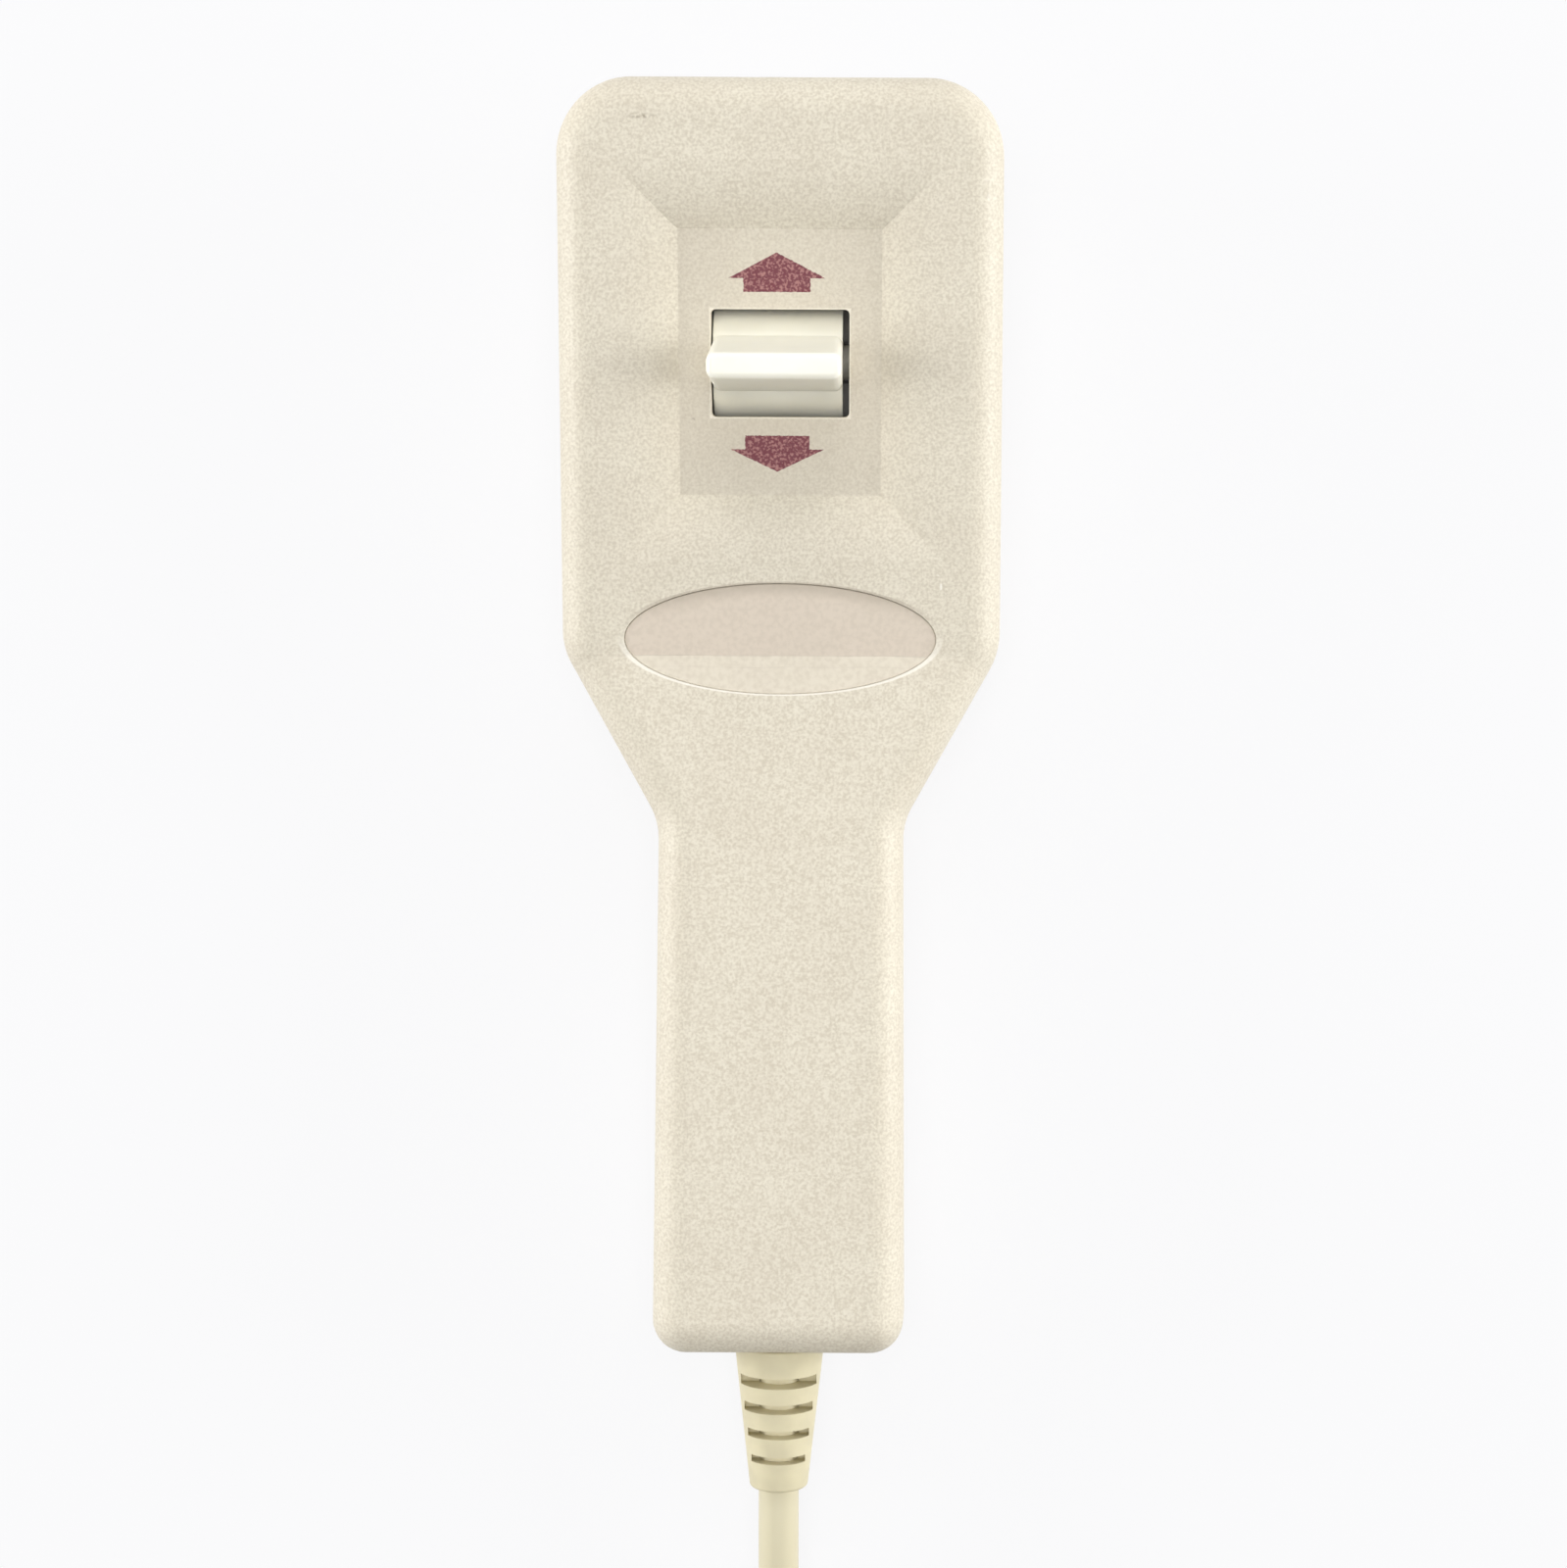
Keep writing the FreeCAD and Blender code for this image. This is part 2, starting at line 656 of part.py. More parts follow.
def make_back_shell():
    form = shape_half("back_form", "0", BACK_LEVEL, FORM_HEIGHT, back_line("0"), FORM_BOTTOM,
                      "sizes.back_blend", "sizes.back_edge", down=True)
    core = shape_half("back_core", "sizes.wall", BACK_LEVEL, FORM_HEIGHT, back_line("sizes.wall"),
                      FORM_BOTTOM, "sizes.back_blend - sizes.wall", "sizes.back_edge - sizes.wall", down=True)
    towers = posts("back_towers", SCREW_PLACES, "0", "sizes.shell_screw_head / 2 + 3 * sizes.wall / 5",
                   "sizes.parting_height")
    clamp_posts = [(f"{side}sizes.clamp_screw_x", "derived.clamp_y") for side in ("", "-")]
    standing = posts("clamp_posts", clamp_posts, "0", "sizes.clamp_post / 2", "sizes.parting_height")
    low = ["-sizes.clamp_screw_x", "derived.clamp_y - sizes.cord_saddle_length / 2", "0"]
    high = ["sizes.clamp_screw_x", "derived.clamp_y + sizes.cord_saddle_length / 2", "sizes.parting_height"]
    box(standing, "Additive", "cord_saddle", low, high)
    inner = fuse("back_standing", towers, standing)
    hollow = combine("Cut", "back_hollow", core, inner)
    open_shell = combine("Cut", "back_open", form, hollow)
    tongue = lip_ring("tongue", "sizes.wall - sizes.lip_thickness", "sizes.wall",
                      f"{BACK_LEVEL} - {BEYOND}", f"{BEYOND} + sizes.parting_gap + sizes.lip_height")
    body = fuse("back_body", open_shell, tongue)
    bores = posts("back_bores", SCREW_PLACES, f"-{BEYOND}", "sizes.shell_screw_head / 2 + sizes.parting_gap",
                  f"derived.screw_seat + {BEYOND}")
    for number, (x, y) in enumerate(SCREW_PLACES, start=1):
        cylinder(bores, "Additive", f"back_clearance_{number}", "z", (x, y, "0"),
                 "sizes.shell_screw_thread / 2 + sizes.fit_gap", "sizes.parting_height + 1")
    pilots = posts("clamp_pilots", clamp_posts, "sizes.parting_height - sizes.clamp_screw_bite - 1",
                   "sizes.clamp_screw_thread / 2 + sizes.pin_play", "sizes.clamp_screw_bite + 1")
    groove = new_body("cord_groove")
    start = ("0", "derived.clamp_y - sizes.cord_saddle_length", "sizes.parting_height")
    cylinder(groove, "Additive", "cord_groove_bore", "y", start, "derived.cord_bore",
             "2 * sizes.cord_saddle_length")
    cuts = fuse("back_cuts", bores, pilots, groove, end_hole("back_end_hole"))
    return combine("Cut", "back_shell", body, cuts)


def make_label():
    """The thin oval film, folded at the crease like the seat it lies in."""
    bottom = front_line("sizes.label_recess")
    top = front_line("sizes.label_recess - sizes.label_thickness")
    film = side_slab("label_film", bottom + top[::-1])
    return combine("Common", "oval_label", label_prism("oval_label", "0"), film)


def make_rocker():
    """A hollow drum sector on a hub, with the lever on top and the switch tail below."""
    body = new_body("rocker")
    width, radius = "sizes.rocker_width", "sizes.drum_radius"
    start = (f"-{width} / 2", "0", "0")
    cylinder(body, "Additive", "drum", "x", start, radius, width)
    cheek = "sizes.drum_shell"
    for name, low in (("right", "sizes.rocker_web / 2"), ("left", f"{cheek} - {width} / 2")):
        cylinder(body, "Subtractive", f"drum_hollow_{name}", "x", (low, "0", "0"), f"{radius} - {cheek}",
                 f"{width} / 2 - {cheek} - sizes.rocker_web / 2")
    opened = new_sketch(body, "drum_underside", "YZ_Plane")
    reach = f"2 * {radius}"
    slope = (f"{reach} * sin(sizes.drum_half_angle)", f"{reach} * cos(sizes.drum_half_angle)")
    right = [("0", "0"), slope, (reach, f"-{reach}")]
    left = [(f"-{reach}", f"-{reach}"), ("-" + slope[0], slope[1])]
    add_polygon(opened, [right[0]] + left[::-1] + [right[2], right[1]])
    pocket(body, "drum_opening", opened, f"{width} + {BEYOND}", midplane=True)
    hub = "sizes.hub_length"
    cylinder(body, "Additive", "hub", "x", (f"-{hub} / 2", "0", "0"), "sizes.hub_radius", hub)
    low = ["-sizes.tail_width / 2", "-sizes.nose_radius", "-sizes.tail_length"]
    box(body, "Additive", "tail", low, ["sizes.tail_width / 2", "sizes.nose_radius", "0"])
    cylinder(body, "Additive", "nose", "x", ("-sizes.tail_width / 2", "0", "-sizes.tail_length"),
             "sizes.nose_radius", "sizes.tail_width")
    lever = new_sketch(body, "lever_side", "YZ_Plane")
    foot = f"({radius} - {cheek} / 2)"
    top = f"({radius} + sizes.drum_below_floor + sizes.lever_height)"
    lean = f"(sizes.lever_base - sizes.lever_top) / 2 / ({top} - {radius})"
    half = f"(sizes.lever_base / 2 + ({radius} - {foot}) * {lean})"
    add_polygon(lever, [(f"-{half}", foot), (half, foot), ("sizes.lever_top / 2", top),
                        ("-sizes.lever_top / 2", top)])
    pad(body, "lever", lever, width, midplane=True)
    round_edges(body, "lever_ends", "sizes.lever_end_round",
                lambda edge: leans(edge, value(top), value("sizes.rocker_width") / 2))
    high = value(top)
    round_edges(body, "lever_edges", "sizes.lever_round",
                lambda edge: all(abs(vertex.Z - high) < 0.01 for vertex in edge.Vertexes))
    cylinder(body, "Subtractive", "pin_bore", "x", (f"-{hub} / 2", "0", "0"),
             "sizes.pin_radius + sizes.pin_play", hub)
    tilt(body, PIVOT, "sizes.rocker_offset")
    return body


def leans(edge, height, half_width):
    """Whether an edge climbs to a height at either end of the rocker."""
    ends = [vertex.Point for vertex in edge.Vertexes]
    if len(ends) != 2 or abs(ends[0].z - ends[1].z) < 1:
        return False
    return abs(max(p.z for p in ends) - height) < 0.01 and all(abs(abs(p.x) - half_width) < 0.01 for p in ends)


def make_pin():
    pin = doc.addObject("Part::Cylinder", "rocker_pin")
    half = "(sizes.saddle_start + sizes.pin_seat - sizes.fit_gap)"
    pin.Placement = Placement(Vector(), TURNS["x"])
    pin.setExpression("Radius", "sizes.pin_radius")
    pin.setExpression("Height", f"2 * {half}")
    pin.setExpression("Placement.Base.x", f"-{half}")
    pin.setExpression("Placement.Base.y", PIVOT[0])
    pin.setExpression("Placement.Base.z", PIVOT[1])
    return pin


def between(low, high, side):
    """Two limits along Y, swapped and negated on the negative side."""
    return (low, high) if side == "" else (f"-({high})", f"-({low})")


def make_switch(name, side):
    """One switch: a case, a plunger that meets the tail, and three terminals through the board."""
    near = "sizes.switch_start"
    far = "(sizes.switch_start + sizes.switch_depth)"
    case = new_body(f"{name}_switch_case")
    start, end = between(near, far, side)
    low = ["-sizes.switch_length / 2", start, "-derived.board_top"]
    box(case, "Additive", f"{name}_case", low, ["sizes.switch_length / 2", end, "-sizes.switch_top"])
    tip = "(sizes.nose_radius + sizes.plunger_gap)"
    reach = f"({tip} + sizes.plunger_length + sizes.plunger_travel)"
    start, end = between(f"{near} - {BEYOND}", reach, side)
    height = "-sizes.tail_length"
    cylinder(case, "Subtractive", f"{name}_case_bore", "y", ("0", start, height),
             "sizes.plunger_radius + sizes.pin_play", f"{end} - ({start})")
    tilt(case, PIVOT)
    plunger = new_body(f"{name}_switch_plunger")
    start, end = between(tip, f"{tip} + sizes.plunger_length", side)
    cylinder(plunger, "Additive", f"{name}_plunger", "y", ("0", start, height),
             "sizes.plunger_radius", "sizes.plunger_length")
    round_edges(plunger, f"{name}_plunger_tip", "sizes.plunger_round",
                lambda edge: len(edge.Vertexes) == 1 and abs(abs(edge.Vertexes[0].Y) - value(tip)) < 0.01)
    tilt(plunger, PIVOT)
    pieces = [case, plunger]
    middle = f"{side}({near} + sizes.switch_depth / 2)"
    for role, step in (("common", -1), ("closed", 0), ("open", 1)):
        blade = new_body(f"{name}_terminal_{role}")
        x = f"{step} * sizes.terminal_pitch"
        low = [f"{x} - sizes.terminal_width / 2", f"{middle} - sizes.terminal_thickness / 2",
               "-derived.board_top - sizes.terminal_length"]
        high = [f"{x} + sizes.terminal_width / 2", f"{middle} + sizes.terminal_thickness / 2",
                "-derived.board_top"]
        box(blade, "Additive", f"{name}_{role}_blade", low, high)
        tilt(blade, PIVOT)
        pieces.append(blade)
    return pieces


def make_carrier():
    """The moulded block that closes the pin seats and holds both switches on the board."""
    body = new_body("switch_carrier")
    half = ("sizes.carrier_width / 2", "sizes.carrier_length / 2")
    low = [f"-{half[0]}", f"-{half[1]}", "-derived.board_top"]
    box(body, "Additive", "carrier_block", low, [*half, "-derived.carrier_top"])
    play = "sizes.switch_clearance"
    x = f"(sizes.switch_length / 2 + {play})"
    for name, side in (("upper", ""), ("lower", "-")):
        start, end = between(f"sizes.switch_start - {play}",
                             f"sizes.switch_start + sizes.switch_depth + {play}", side)
        low = [f"-{x}", start, f"-derived.board_top - {BEYOND}"]
        box(body, "Subtractive", f"switch_pocket_{name}", low, [x, end, f"{play} - sizes.switch_top"])
    gap = f"(sizes.switch_start - {play})"
    low = ["-sizes.tail_slot / 2", f"-{gap}", f"-derived.board_top - {BEYOND}"]
    box(body, "Subtractive", "tail_slot", low, ["sizes.tail_slot / 2", gap, f"-derived.carrier_top + {BEYOND}"])
    low = ["-sizes.trough_width / 2", f"-{gap}", "-derived.carrier_top - sizes.trough_depth"]
    high = ["sizes.trough_width / 2", gap, f"-derived.carrier_top + {BEYOND}"]
    box(body, "Subtractive", "hub_trough", low, high)
    near, far = "sizes.relief_start", "(sizes.relief_start + sizes.relief_width)"
    for name, left, right in (("right", near, far), ("left", "-" + far, "-" + near)):
        low = [left, "-sizes.saddle_length", f"-derived.board_top - {BEYOND}"]
        high = [right, "sizes.saddle_length", "sizes.relief_depth - derived.board_top"]
        box(body, "Subtractive", f"carrier_relief_{name}", low, high)
    for number, (x, y) in enumerate(CARRIER_SCREWS, start=1):
        cylinder(body, "Subtractive", f"carrier_hole_{number}", "z", (x, y, f"-derived.board_top - {BEYOND}"),
                 "sizes.carrier_screw_thread / 2 + sizes.fit_gap", "derived.board_top + 1")
    round_edges(body, "carrier_corners", "sizes.wall / 2",
                lambda edge: stands(edge, "z") and at_corner(edge, "sizes.carrier_width / 2",
                                                             "sizes.carrier_length / 2"))
    tilt(body, PIVOT)
    return body


def at_corner(edge, x, y):
    point = edge.Vertexes[0].Point
    return abs(abs(point.x) - value(x)) < 0.01 and abs(abs(point.y) - value(y)) < 0.01


def wire_places():
    """Where the five wires enter the board, in the tilted frame of the pivot."""
    row = "(sizes.wire_inset - sizes.carrier_length / 2 - sizes.board_tongue)"
    return [(f"{step} * sizes.wire_pitch", row) for step in range(-2, 3)]


def make_board():
    body = new_body("circuit_board")
    half = ("sizes.carrier_width / 2", "sizes.carrier_length / 2")
    under = "(-derived.board_top - sizes.board_thickness)"
    low = [f"-{half[0]}", f"-{half[1]} - sizes.board_tongue", under]
    box(body, "Additive", "board_sheet", low, [*half, "-derived.board_top"])
    holes = [(x, y, "sizes.carrier_screw_thread / 2 + sizes.fit_gap") for x, y in CARRIER_SCREWS]
    for side in ("", "-"):
        middle = f"{side}(sizes.switch_start + sizes.switch_depth / 2)"
        holes += [(f"{step} * sizes.terminal_pitch", middle, "sizes.terminal_width / 2 + 2 * sizes.fit_gap")
                  for step in (-1, 0, 1)]
    holes += [(x, y, "sizes.wire_hole / 2") for x, y in wire_places()]
    for number, (x, y, radius) in enumerate(holes, start=1):
        cylinder(body, "Subtractive", f"board_hole_{number}", "z", (x, y, f"{under} - {BEYOND}"),
                 radius, f"sizes.board_thickness + 2 * {BEYOND}")
    tilt(body, PIVOT)
    return body


def make_relief():
    """The tapered strain relief, with a flange inside the wall and open slots in its front and back."""
    body = new_body("strain_relief")
    profile = new_sketch(body, "relief_profile", "XY_Plane")
    bore = "derived.cord_bore"
    inside = "(sizes.wall + sizes.relief_flange / 2 * tan(sizes.draft) + sizes.fit_gap)"
    end = f"({inside} + sizes.relief_flange_thickness)"
    add_polygon(profile, [
        (bore, end), (bore, "-sizes.relief_length"),
        ("sizes.relief_tip / 2", "-sizes.relief_length"), ("sizes.relief_base / 2", "0"),
        ("sizes.relief_neck / 2", "0"), ("sizes.relief_neck / 2", inside),
        ("sizes.relief_flange / 2", inside), ("sizes.relief_flange / 2", end)])
    turn = body.newObject("PartDesign::Revolution", "relief_turn")
    turn.Profile = profile
    turn.ReferenceAxis = (profile, ["V_Axis"])
    turn.Angle = 360
    doc.recompute()
    tip = value("sizes.relief_length")
    wide = value("sizes.relief_tip / 2")
    base = value("sizes.relief_base / 2")
    round_edges(body, "relief_tip_edge", "sizes.slot_height / 3", lambda edge: all(
        abs(v.Y + tip) < 0.01 and math.hypot(v.X, v.Z) > wide - 0.01 for v in edge.Vertexes))
    round_edges(body, "relief_base_edge", "sizes.slot_height / 4", lambda edge: all(
        abs(v.Y) < 0.01 and math.hypot(v.X, v.Z) > base - 0.01 for v in edge.Vertexes))
    for row in range(4):
        width = f"(sizes.slot_width - {row} * sizes.slot_narrowing)"
        start = f"(-sizes.slot_first - {row} * sizes.slot_pitch)"
        height = f"(sizes.slot_height - {row} * sizes.slot_step)"
        low, high = f"{start} - {height}", start
        web, out = "sizes.slot_web / 2", "sizes.relief_base"
        box(body, "Subtractive", f"slot_front_{row + 1}", [f"-{width} / 2", low, web], [f"{width} / 2", high, out])
        box(body, "Subtractive", f"slot_back_{row + 1}", [f"-{width} / 2", low, f"-{out}"],
            [f"{width} / 2", high, f"-{web}"])
    bind(body, Placement_Base_y="-derived.top_y", Placement_Base_z="sizes.parting_height")
    return body


def make_clamp():
    """The bar that holds the cord down inside the handle."""
    body = new_body("cord_clamp")
    low = ["-sizes.clamp_width / 2", "-sizes.clamp_length / 2", "0"]
    box(body, "Additive", "clamp_bar", low, ["sizes.clamp_width / 2", "sizes.clamp_length / 2", "sizes.clamp_height"])
    round_edges(body, "clamp_corners", "sizes.clamp_length / 3", lambda edge: stands(edge, "z"))
    cylinder(body, "Subtractive", "clamp_groove", "y", ("0", "-sizes.clamp_length", "sizes.parting_gap / 2"),
             "derived.cord_bore", "2 * sizes.clamp_length")
    for number, side in enumerate(("", "-"), start=1):
        cylinder(body, "Subtractive", f"clamp_hole_{number}", "z", (f"{side}sizes.clamp_screw_x", "0", "-1"),
                 "sizes.clamp_screw_thread / 2 + sizes.fit_gap", "sizes.clamp_height + 2")
    bind(body, Placement_Base_y="derived.clamp_y", Placement_Base_z=BACK_LEVEL)
    return body


def screw_shape(kind, length):
    """A pan-head screw with a cross recess; its head seats on z = 0 and its shank points up."""
    thread, head, height = (value(f"sizes.{kind}_screw_{part}") for part in ("thread", "head", "head_height"))
    cap = Part.makeCylinder(head / 2, height, Vector(0, 0, -height))
    cap = cap.makeFillet(height / 3, [e for e in cap.Edges if abs(e.BoundBox.ZMax + height) < 1e-6 and e.Length > 1])
    shank = Part.makeCylinder(thread / 2, length)
    shank = shank.makeChamfer(thread / 5, [e for e in shank.Edges if abs(e.BoundBox.ZMin - length) < 1e-6])
    screw = cap.fuse(shank).removeSplitter()
    arm, slit = head * 0.55, head * 0.14
    for size in ((arm, slit), (slit, arm)):
        corner = Vector(-size[0] / 2, -size[1] / 2, -height - 1)
        screw = screw.cut(Part.makeBox(size[0], size[1], 1 + height * 0.6, corner))
    return screw


def make_screws(label, kind, length, places, frame=Placement(), turned=False):
    """Screws of one kind, as separate solids set at their places in a frame."""
    shape = screw_shape(kind, length)
    copies = []
    for x, y, z in places:
        turn = Rotation(Vector(1, 0, 0), 180) if turned else Rotation()
        copy = shape.copy()
        copy.Placement = frame * Placement(Vector(x, y, z), turn)
        copies.append(copy)
    feature = doc.addObject("Part::Feature", label)
    feature.Shape = Part.makeCompound(copies)
    return feature


def pivot_frame():
    turn = Rotation(Vector(1, 0, 0), value("sizes.head_angle"))
    return Placement(Vector(0, value(PIVOT[0]), value(PIVOT[1])), turn)


def rounded_path(points, note=None):
    """Straight runs joined by tangent arcs, each as large as its two runs allow."""
    arcs = []
    radii = []
    for before, corner, after in zip(points, points[1:], points[2:]):
        into, out = corner - before, after - corner
        half = into.getAngle(out) / 2
        back = 0.45 * min(into.Length, out.Length)
        radius = back / math.tan(half)
        radii.append(radius)
        into.normalize()
        out.normalize()
        start, stop = corner - into * back, corner + out * back
        inward = (out - into).normalize()
        middle = corner + inward * (radius / math.cos(half) - radius)
        arcs.append((start, Part.Arc(start, middle, stop).toShape(), stop))
    edges = []
    here = points[0]
    for start, arc, stop in arcs:
        edges += [Part.LineSegment(here, start).toShape(), arc]
        here = stop
    edges.append(Part.LineSegment(here, points[-1]).toShape())
    if note:
        print(note, "bend radii", [round(radius, 1) for radius in radii])
    return Part.Wire(edges)


def tube(label, points, radius, note=None):
    """A round solid along a route, with its volume compared with section times length."""
    path = rounded_path(points, note)
    direction = points[1] - points[0]
    section = Part.Wire([Part.makeCircle(radius, points[0], direction)])
    shape = path.makePipeShell([section], True, False)
    expected = math.pi * radius ** 2 * path.Length
    if abs(shape.Volume / expected - 1) > 0.005:
        raise ValueError(f"{label}: volume {shape.Volume:.1f} instead of {expected:.1f}")
    feature = doc.addObject("Part::Feature", label)
    feature.Shape = shape
    if note:
        print(note, "length", round(path.Length, 1))
    return feature


def make_wires():
    """Five wires from the stripped end of the cord up to the board."""
    frame = pivot_frame()
    ring, radius = value("sizes.wire_ring"), value("sizes.wire_radius")
    start_y = value("sizes.cord_inside - derived.top_y")
    level = value("sizes.parting_height")
    colours = ["red", "black", "white", "green", "blue"]
    turns = [162, 234, 90, 306, 18]
    for number, colour in enumerate(colours):
        angle = math.radians(turns[number])
        x, z = ring * math.cos(angle), level + ring * math.sin(angle)
        across, along = (value(e) for e in wire_places()[number])
        board = value("-derived.board_top")
        above = frame.multVec(Vector(across, along, board + 6.5))
        foot = frame.multVec(Vector(across, along, board))
        points = [
            Vector(x, start_y, z),
            Vector(x * 1.2, start_y + 24, z + 0.5),
            Vector(across * 0.6, start_y + 50, level + 2.0 + 0.3 * number),
            Vector(across * 0.9, above.y - 18, level + 3.4),
            Vector(across, above.y - 5, above.z + 2.2),
            above,
            foot,
        ]
        tube(f"wire_{colour}", points, radius)


def make_cord():
    """The lead from inside the handle to the coil, at its real thickness."""
    level = value("sizes.parting_height")
    low = value("derived.cord_radius")
    inner = value("sizes.cord_inside - derived.top_y")
    wall = value("-derived.top_y")
    middle = Vector(value("sizes.coil_x"), value("derived.coil_y"), 0)
    entry = Placement(middle, Rotation(Vector(0, 0, 1), value("-sizes.coil_entry_turn")))
    side, stub = value("-derived.coil_reach"), value("sizes.coil_stub_in")
    end = entry.multVec(Vector(side, stub, low))
    before_end = entry.multVec(Vector(side, stub + 10.0, low))
    points = [
        Vector(0, inner, level),
        Vector(0, wall, level + 0.02),
        Vector(0, wall - 29.5, level),
        Vector(0, before_end.y + 12.6, level - 3.5),
        before_end,
        end,
    ]
    return tube("cord_lead", points, low, "cord_lead")


def make_coil():
    """The put-away length of the cord as one ring, with the stubs that lead in and out of it."""
    body = new_body("coil_ring")
    section = new_sketch(body, "coil_section", "XZ_Plane")
    inner = "sizes.coil_mid_radius - derived.coil_half_width"
    outer = "sizes.coil_mid_radius + derived.coil_half_width"
    add_polygon(section, [(inner, "0"), (outer, "0"), (outer, "derived.coil_height"), (inner, "derived.coil_height")])
    turn = body.newObject("PartDesign::Revolution", "coil_turn")
    turn.Profile = section
    turn.ReferenceAxis = (section, ["V_Axis"])
    turn.Angle = 360
    round_edges(body, "coil_edges", "0.9 * derived.cord_radius", lambda edge: len(edge.Vertexes) == 1)
    low = ("-derived.coil_reach", "0", "derived.cord_radius")
    cylinder(body, "Additive", "coil_lead_in", "y", low, "derived.cord_radius", "sizes.coil_stub_in")
    body.Placement = Placement(Vector(), Rotation(Vector(0, 0, 1), 1))
    bind(body, Placement_Base_x="sizes.coil_x", Placement_Base_y="derived.coil_y",
         Placement_Rotation_Angle="-sizes.coil_entry_turn")
    way_out = new_body("coil_way_out")
    high = ("derived.coil_reach", "0", "derived.coil_exit_z")
    cylinder(way_out, "Additive", "coil_lead_out", "y", high, "derived.cord_radius", "sizes.coil_stub_out")
    bind(way_out, Placement_Base_x="sizes.coil_x", Placement_Base_y="derived.coil_y")
    whole = fuse("coil_with_stubs", body, way_out)
    bands = []
    for name, growth in (("tie_inside", "0"), ("tie_outside", "sizes.tie_thickness")):
        band = new_body(name)
        half = f"(derived.coil_half_width + {growth})"
        low = ["-sizes.tie_width / 2", f"-sizes.coil_mid_radius - {half}", f"sizes.tie_thickness - {growth}"]
        high = ["sizes.tie_width / 2", f"{half} - sizes.coil_mid_radius",
                f"derived.coil_height + sizes.tie_thickness + {growth}"]
        box(band, "Additive", name + "_block", low, high)
        round_edges(band, name + "_corners", f"0.9 * derived.cord_radius + {growth}", lambda edge: stands(edge, "x"))
        bind(band, Placement_Base_x="sizes.coil_x", Placement_Base_y="derived.coil_y")
        bands.append(band)
    tie = combine("Cut", "coil_tie", bands[1], bands[0])
    return combine("Cut", "cord_coil", whole, tie)


def set_plug(thing):
    bind(thing, Placement_Base_x="sizes.coil_x + derived.coil_reach",
         Placement_Base_y="derived.coil_y + sizes.coil_stub_out - sizes.plug_grip_socket",
         Placement_Base_z="derived.plug_grip_radius")


def make_plug():
    """The round five-pin plug: moulded grip, metal sleeve, insert and pins."""
    grip = new_body("plug_grip")
    profile = new_sketch(grip, "grip_profile", "XY_Plane")
    socket = "derived.cord_radius + 2 * sizes.fit_gap"
    front = "sizes.plug_grip_length"
    radius = "derived.plug_grip_radius"
    add_polygon(profile, [
        ("0", "sizes.plug_grip_socket"), (socket, "sizes.plug_grip_socket"), (socket, "0"),
        ("sizes.plug_grip_neck", "0"), (radius, "sizes.plug_grip_taper"), (radius, front), ("0", front)])
    turn = grip.newObject("PartDesign::Revolution", "grip_turn")
    turn.Profile = profile
    turn.ReferenceAxis = (profile, ["V_Axis"])
    turn.Angle = 360
    set_plug(grip)
    sleeve = new_body("plug_sleeve")
    wide, wall = "sizes.plug_sleeve_radius", "sizes.plug_sleeve_wall"
    cylinder(sleeve, "Additive", "sleeve_outside", "y", ("0", front, "0"), wide, "sizes.plug_sleeve_length")
    cylinder(sleeve, "Subtractive", "sleeve_inside", "y", ("0", front, "0"), f"{wide} - {wall}",
             "sizes.plug_sleeve_length")
    set_plug(sleeve)
    insert = new_body("plug_insert")
    cylinder(insert, "Additive", "insert_disc", "y", ("0", front, "0"), f"{wide} - {wall} - sizes.switch_clearance",
             "sizes.plug_insert_depth")
    for number in range(5):
        angle = f"{45 * number - 90}"
        place = (f"sizes.plug_pin_circle * sin({angle})", f"sizes.plug_pin_circle * cos({angle})")
        start = (place[0], front, place[1])
        cylinder(insert, "Subtractive", f"insert_hole_{number + 1}", "y", start,
                 "sizes.plug_pin_radius + sizes.pin_play", "sizes.plug_insert_depth")
        pin = new_body(f"plug_pin_{number + 1}")
        cylinder(pin, "Additive", f"pin_{number + 1}", "y", start, "sizes.plug_pin_radius", "sizes.plug_pin_length")
        set_plug(pin)
    set_plug(insert)


def screw_heights():
    """Where each kind of screw seats, worked out from the pieces it passes through."""
    seat = value("derived.screw_seat")
    shell = [(value(x), value(y), seat) for x, y in SCREW_PLACES]
    under = value("-derived.board_top - sizes.board_thickness")
    carrier = [(value(x), value(y), under) for x, y in CARRIER_SCREWS]
    top = value(f"{BACK_LEVEL} + sizes.clamp_height")
    clamp = [(sign * value("sizes.clamp_screw_x"), value("derived.clamp_y"), top) for sign in (1, -1)]
    return shell, carrier, clamp


def build():
    """Makes every piece and returns the ones that are kept."""
    make_front_shell()
    make_back_shell()
    make_label()
    make_rocker()
    make_pin()
    make_switch("lower", "")
    make_switch("raise", "-")
    make_carrier()
    make_board()
    make_relief()
    make_clamp()
    make_coil()
    make_plug()
    shell, carrier, clamp = screw_heights()
    make_screws("housing_screws", "shell", value("sizes.shell_screw_length"), shell)
    through = "sizes.board_thickness + derived.board_top - derived.carrier_top"
    make_screws("carrier_screws", "carrier", value(f"{through} + sizes.carrier_screw_bite"), carrier, pivot_frame())
    make_screws("clamp_screws", "clamp", value("sizes.clamp_height + sizes.clamp_screw_bite"), clamp, turned=True)
    make_wires()
    make_cord()
    doc.recompute()


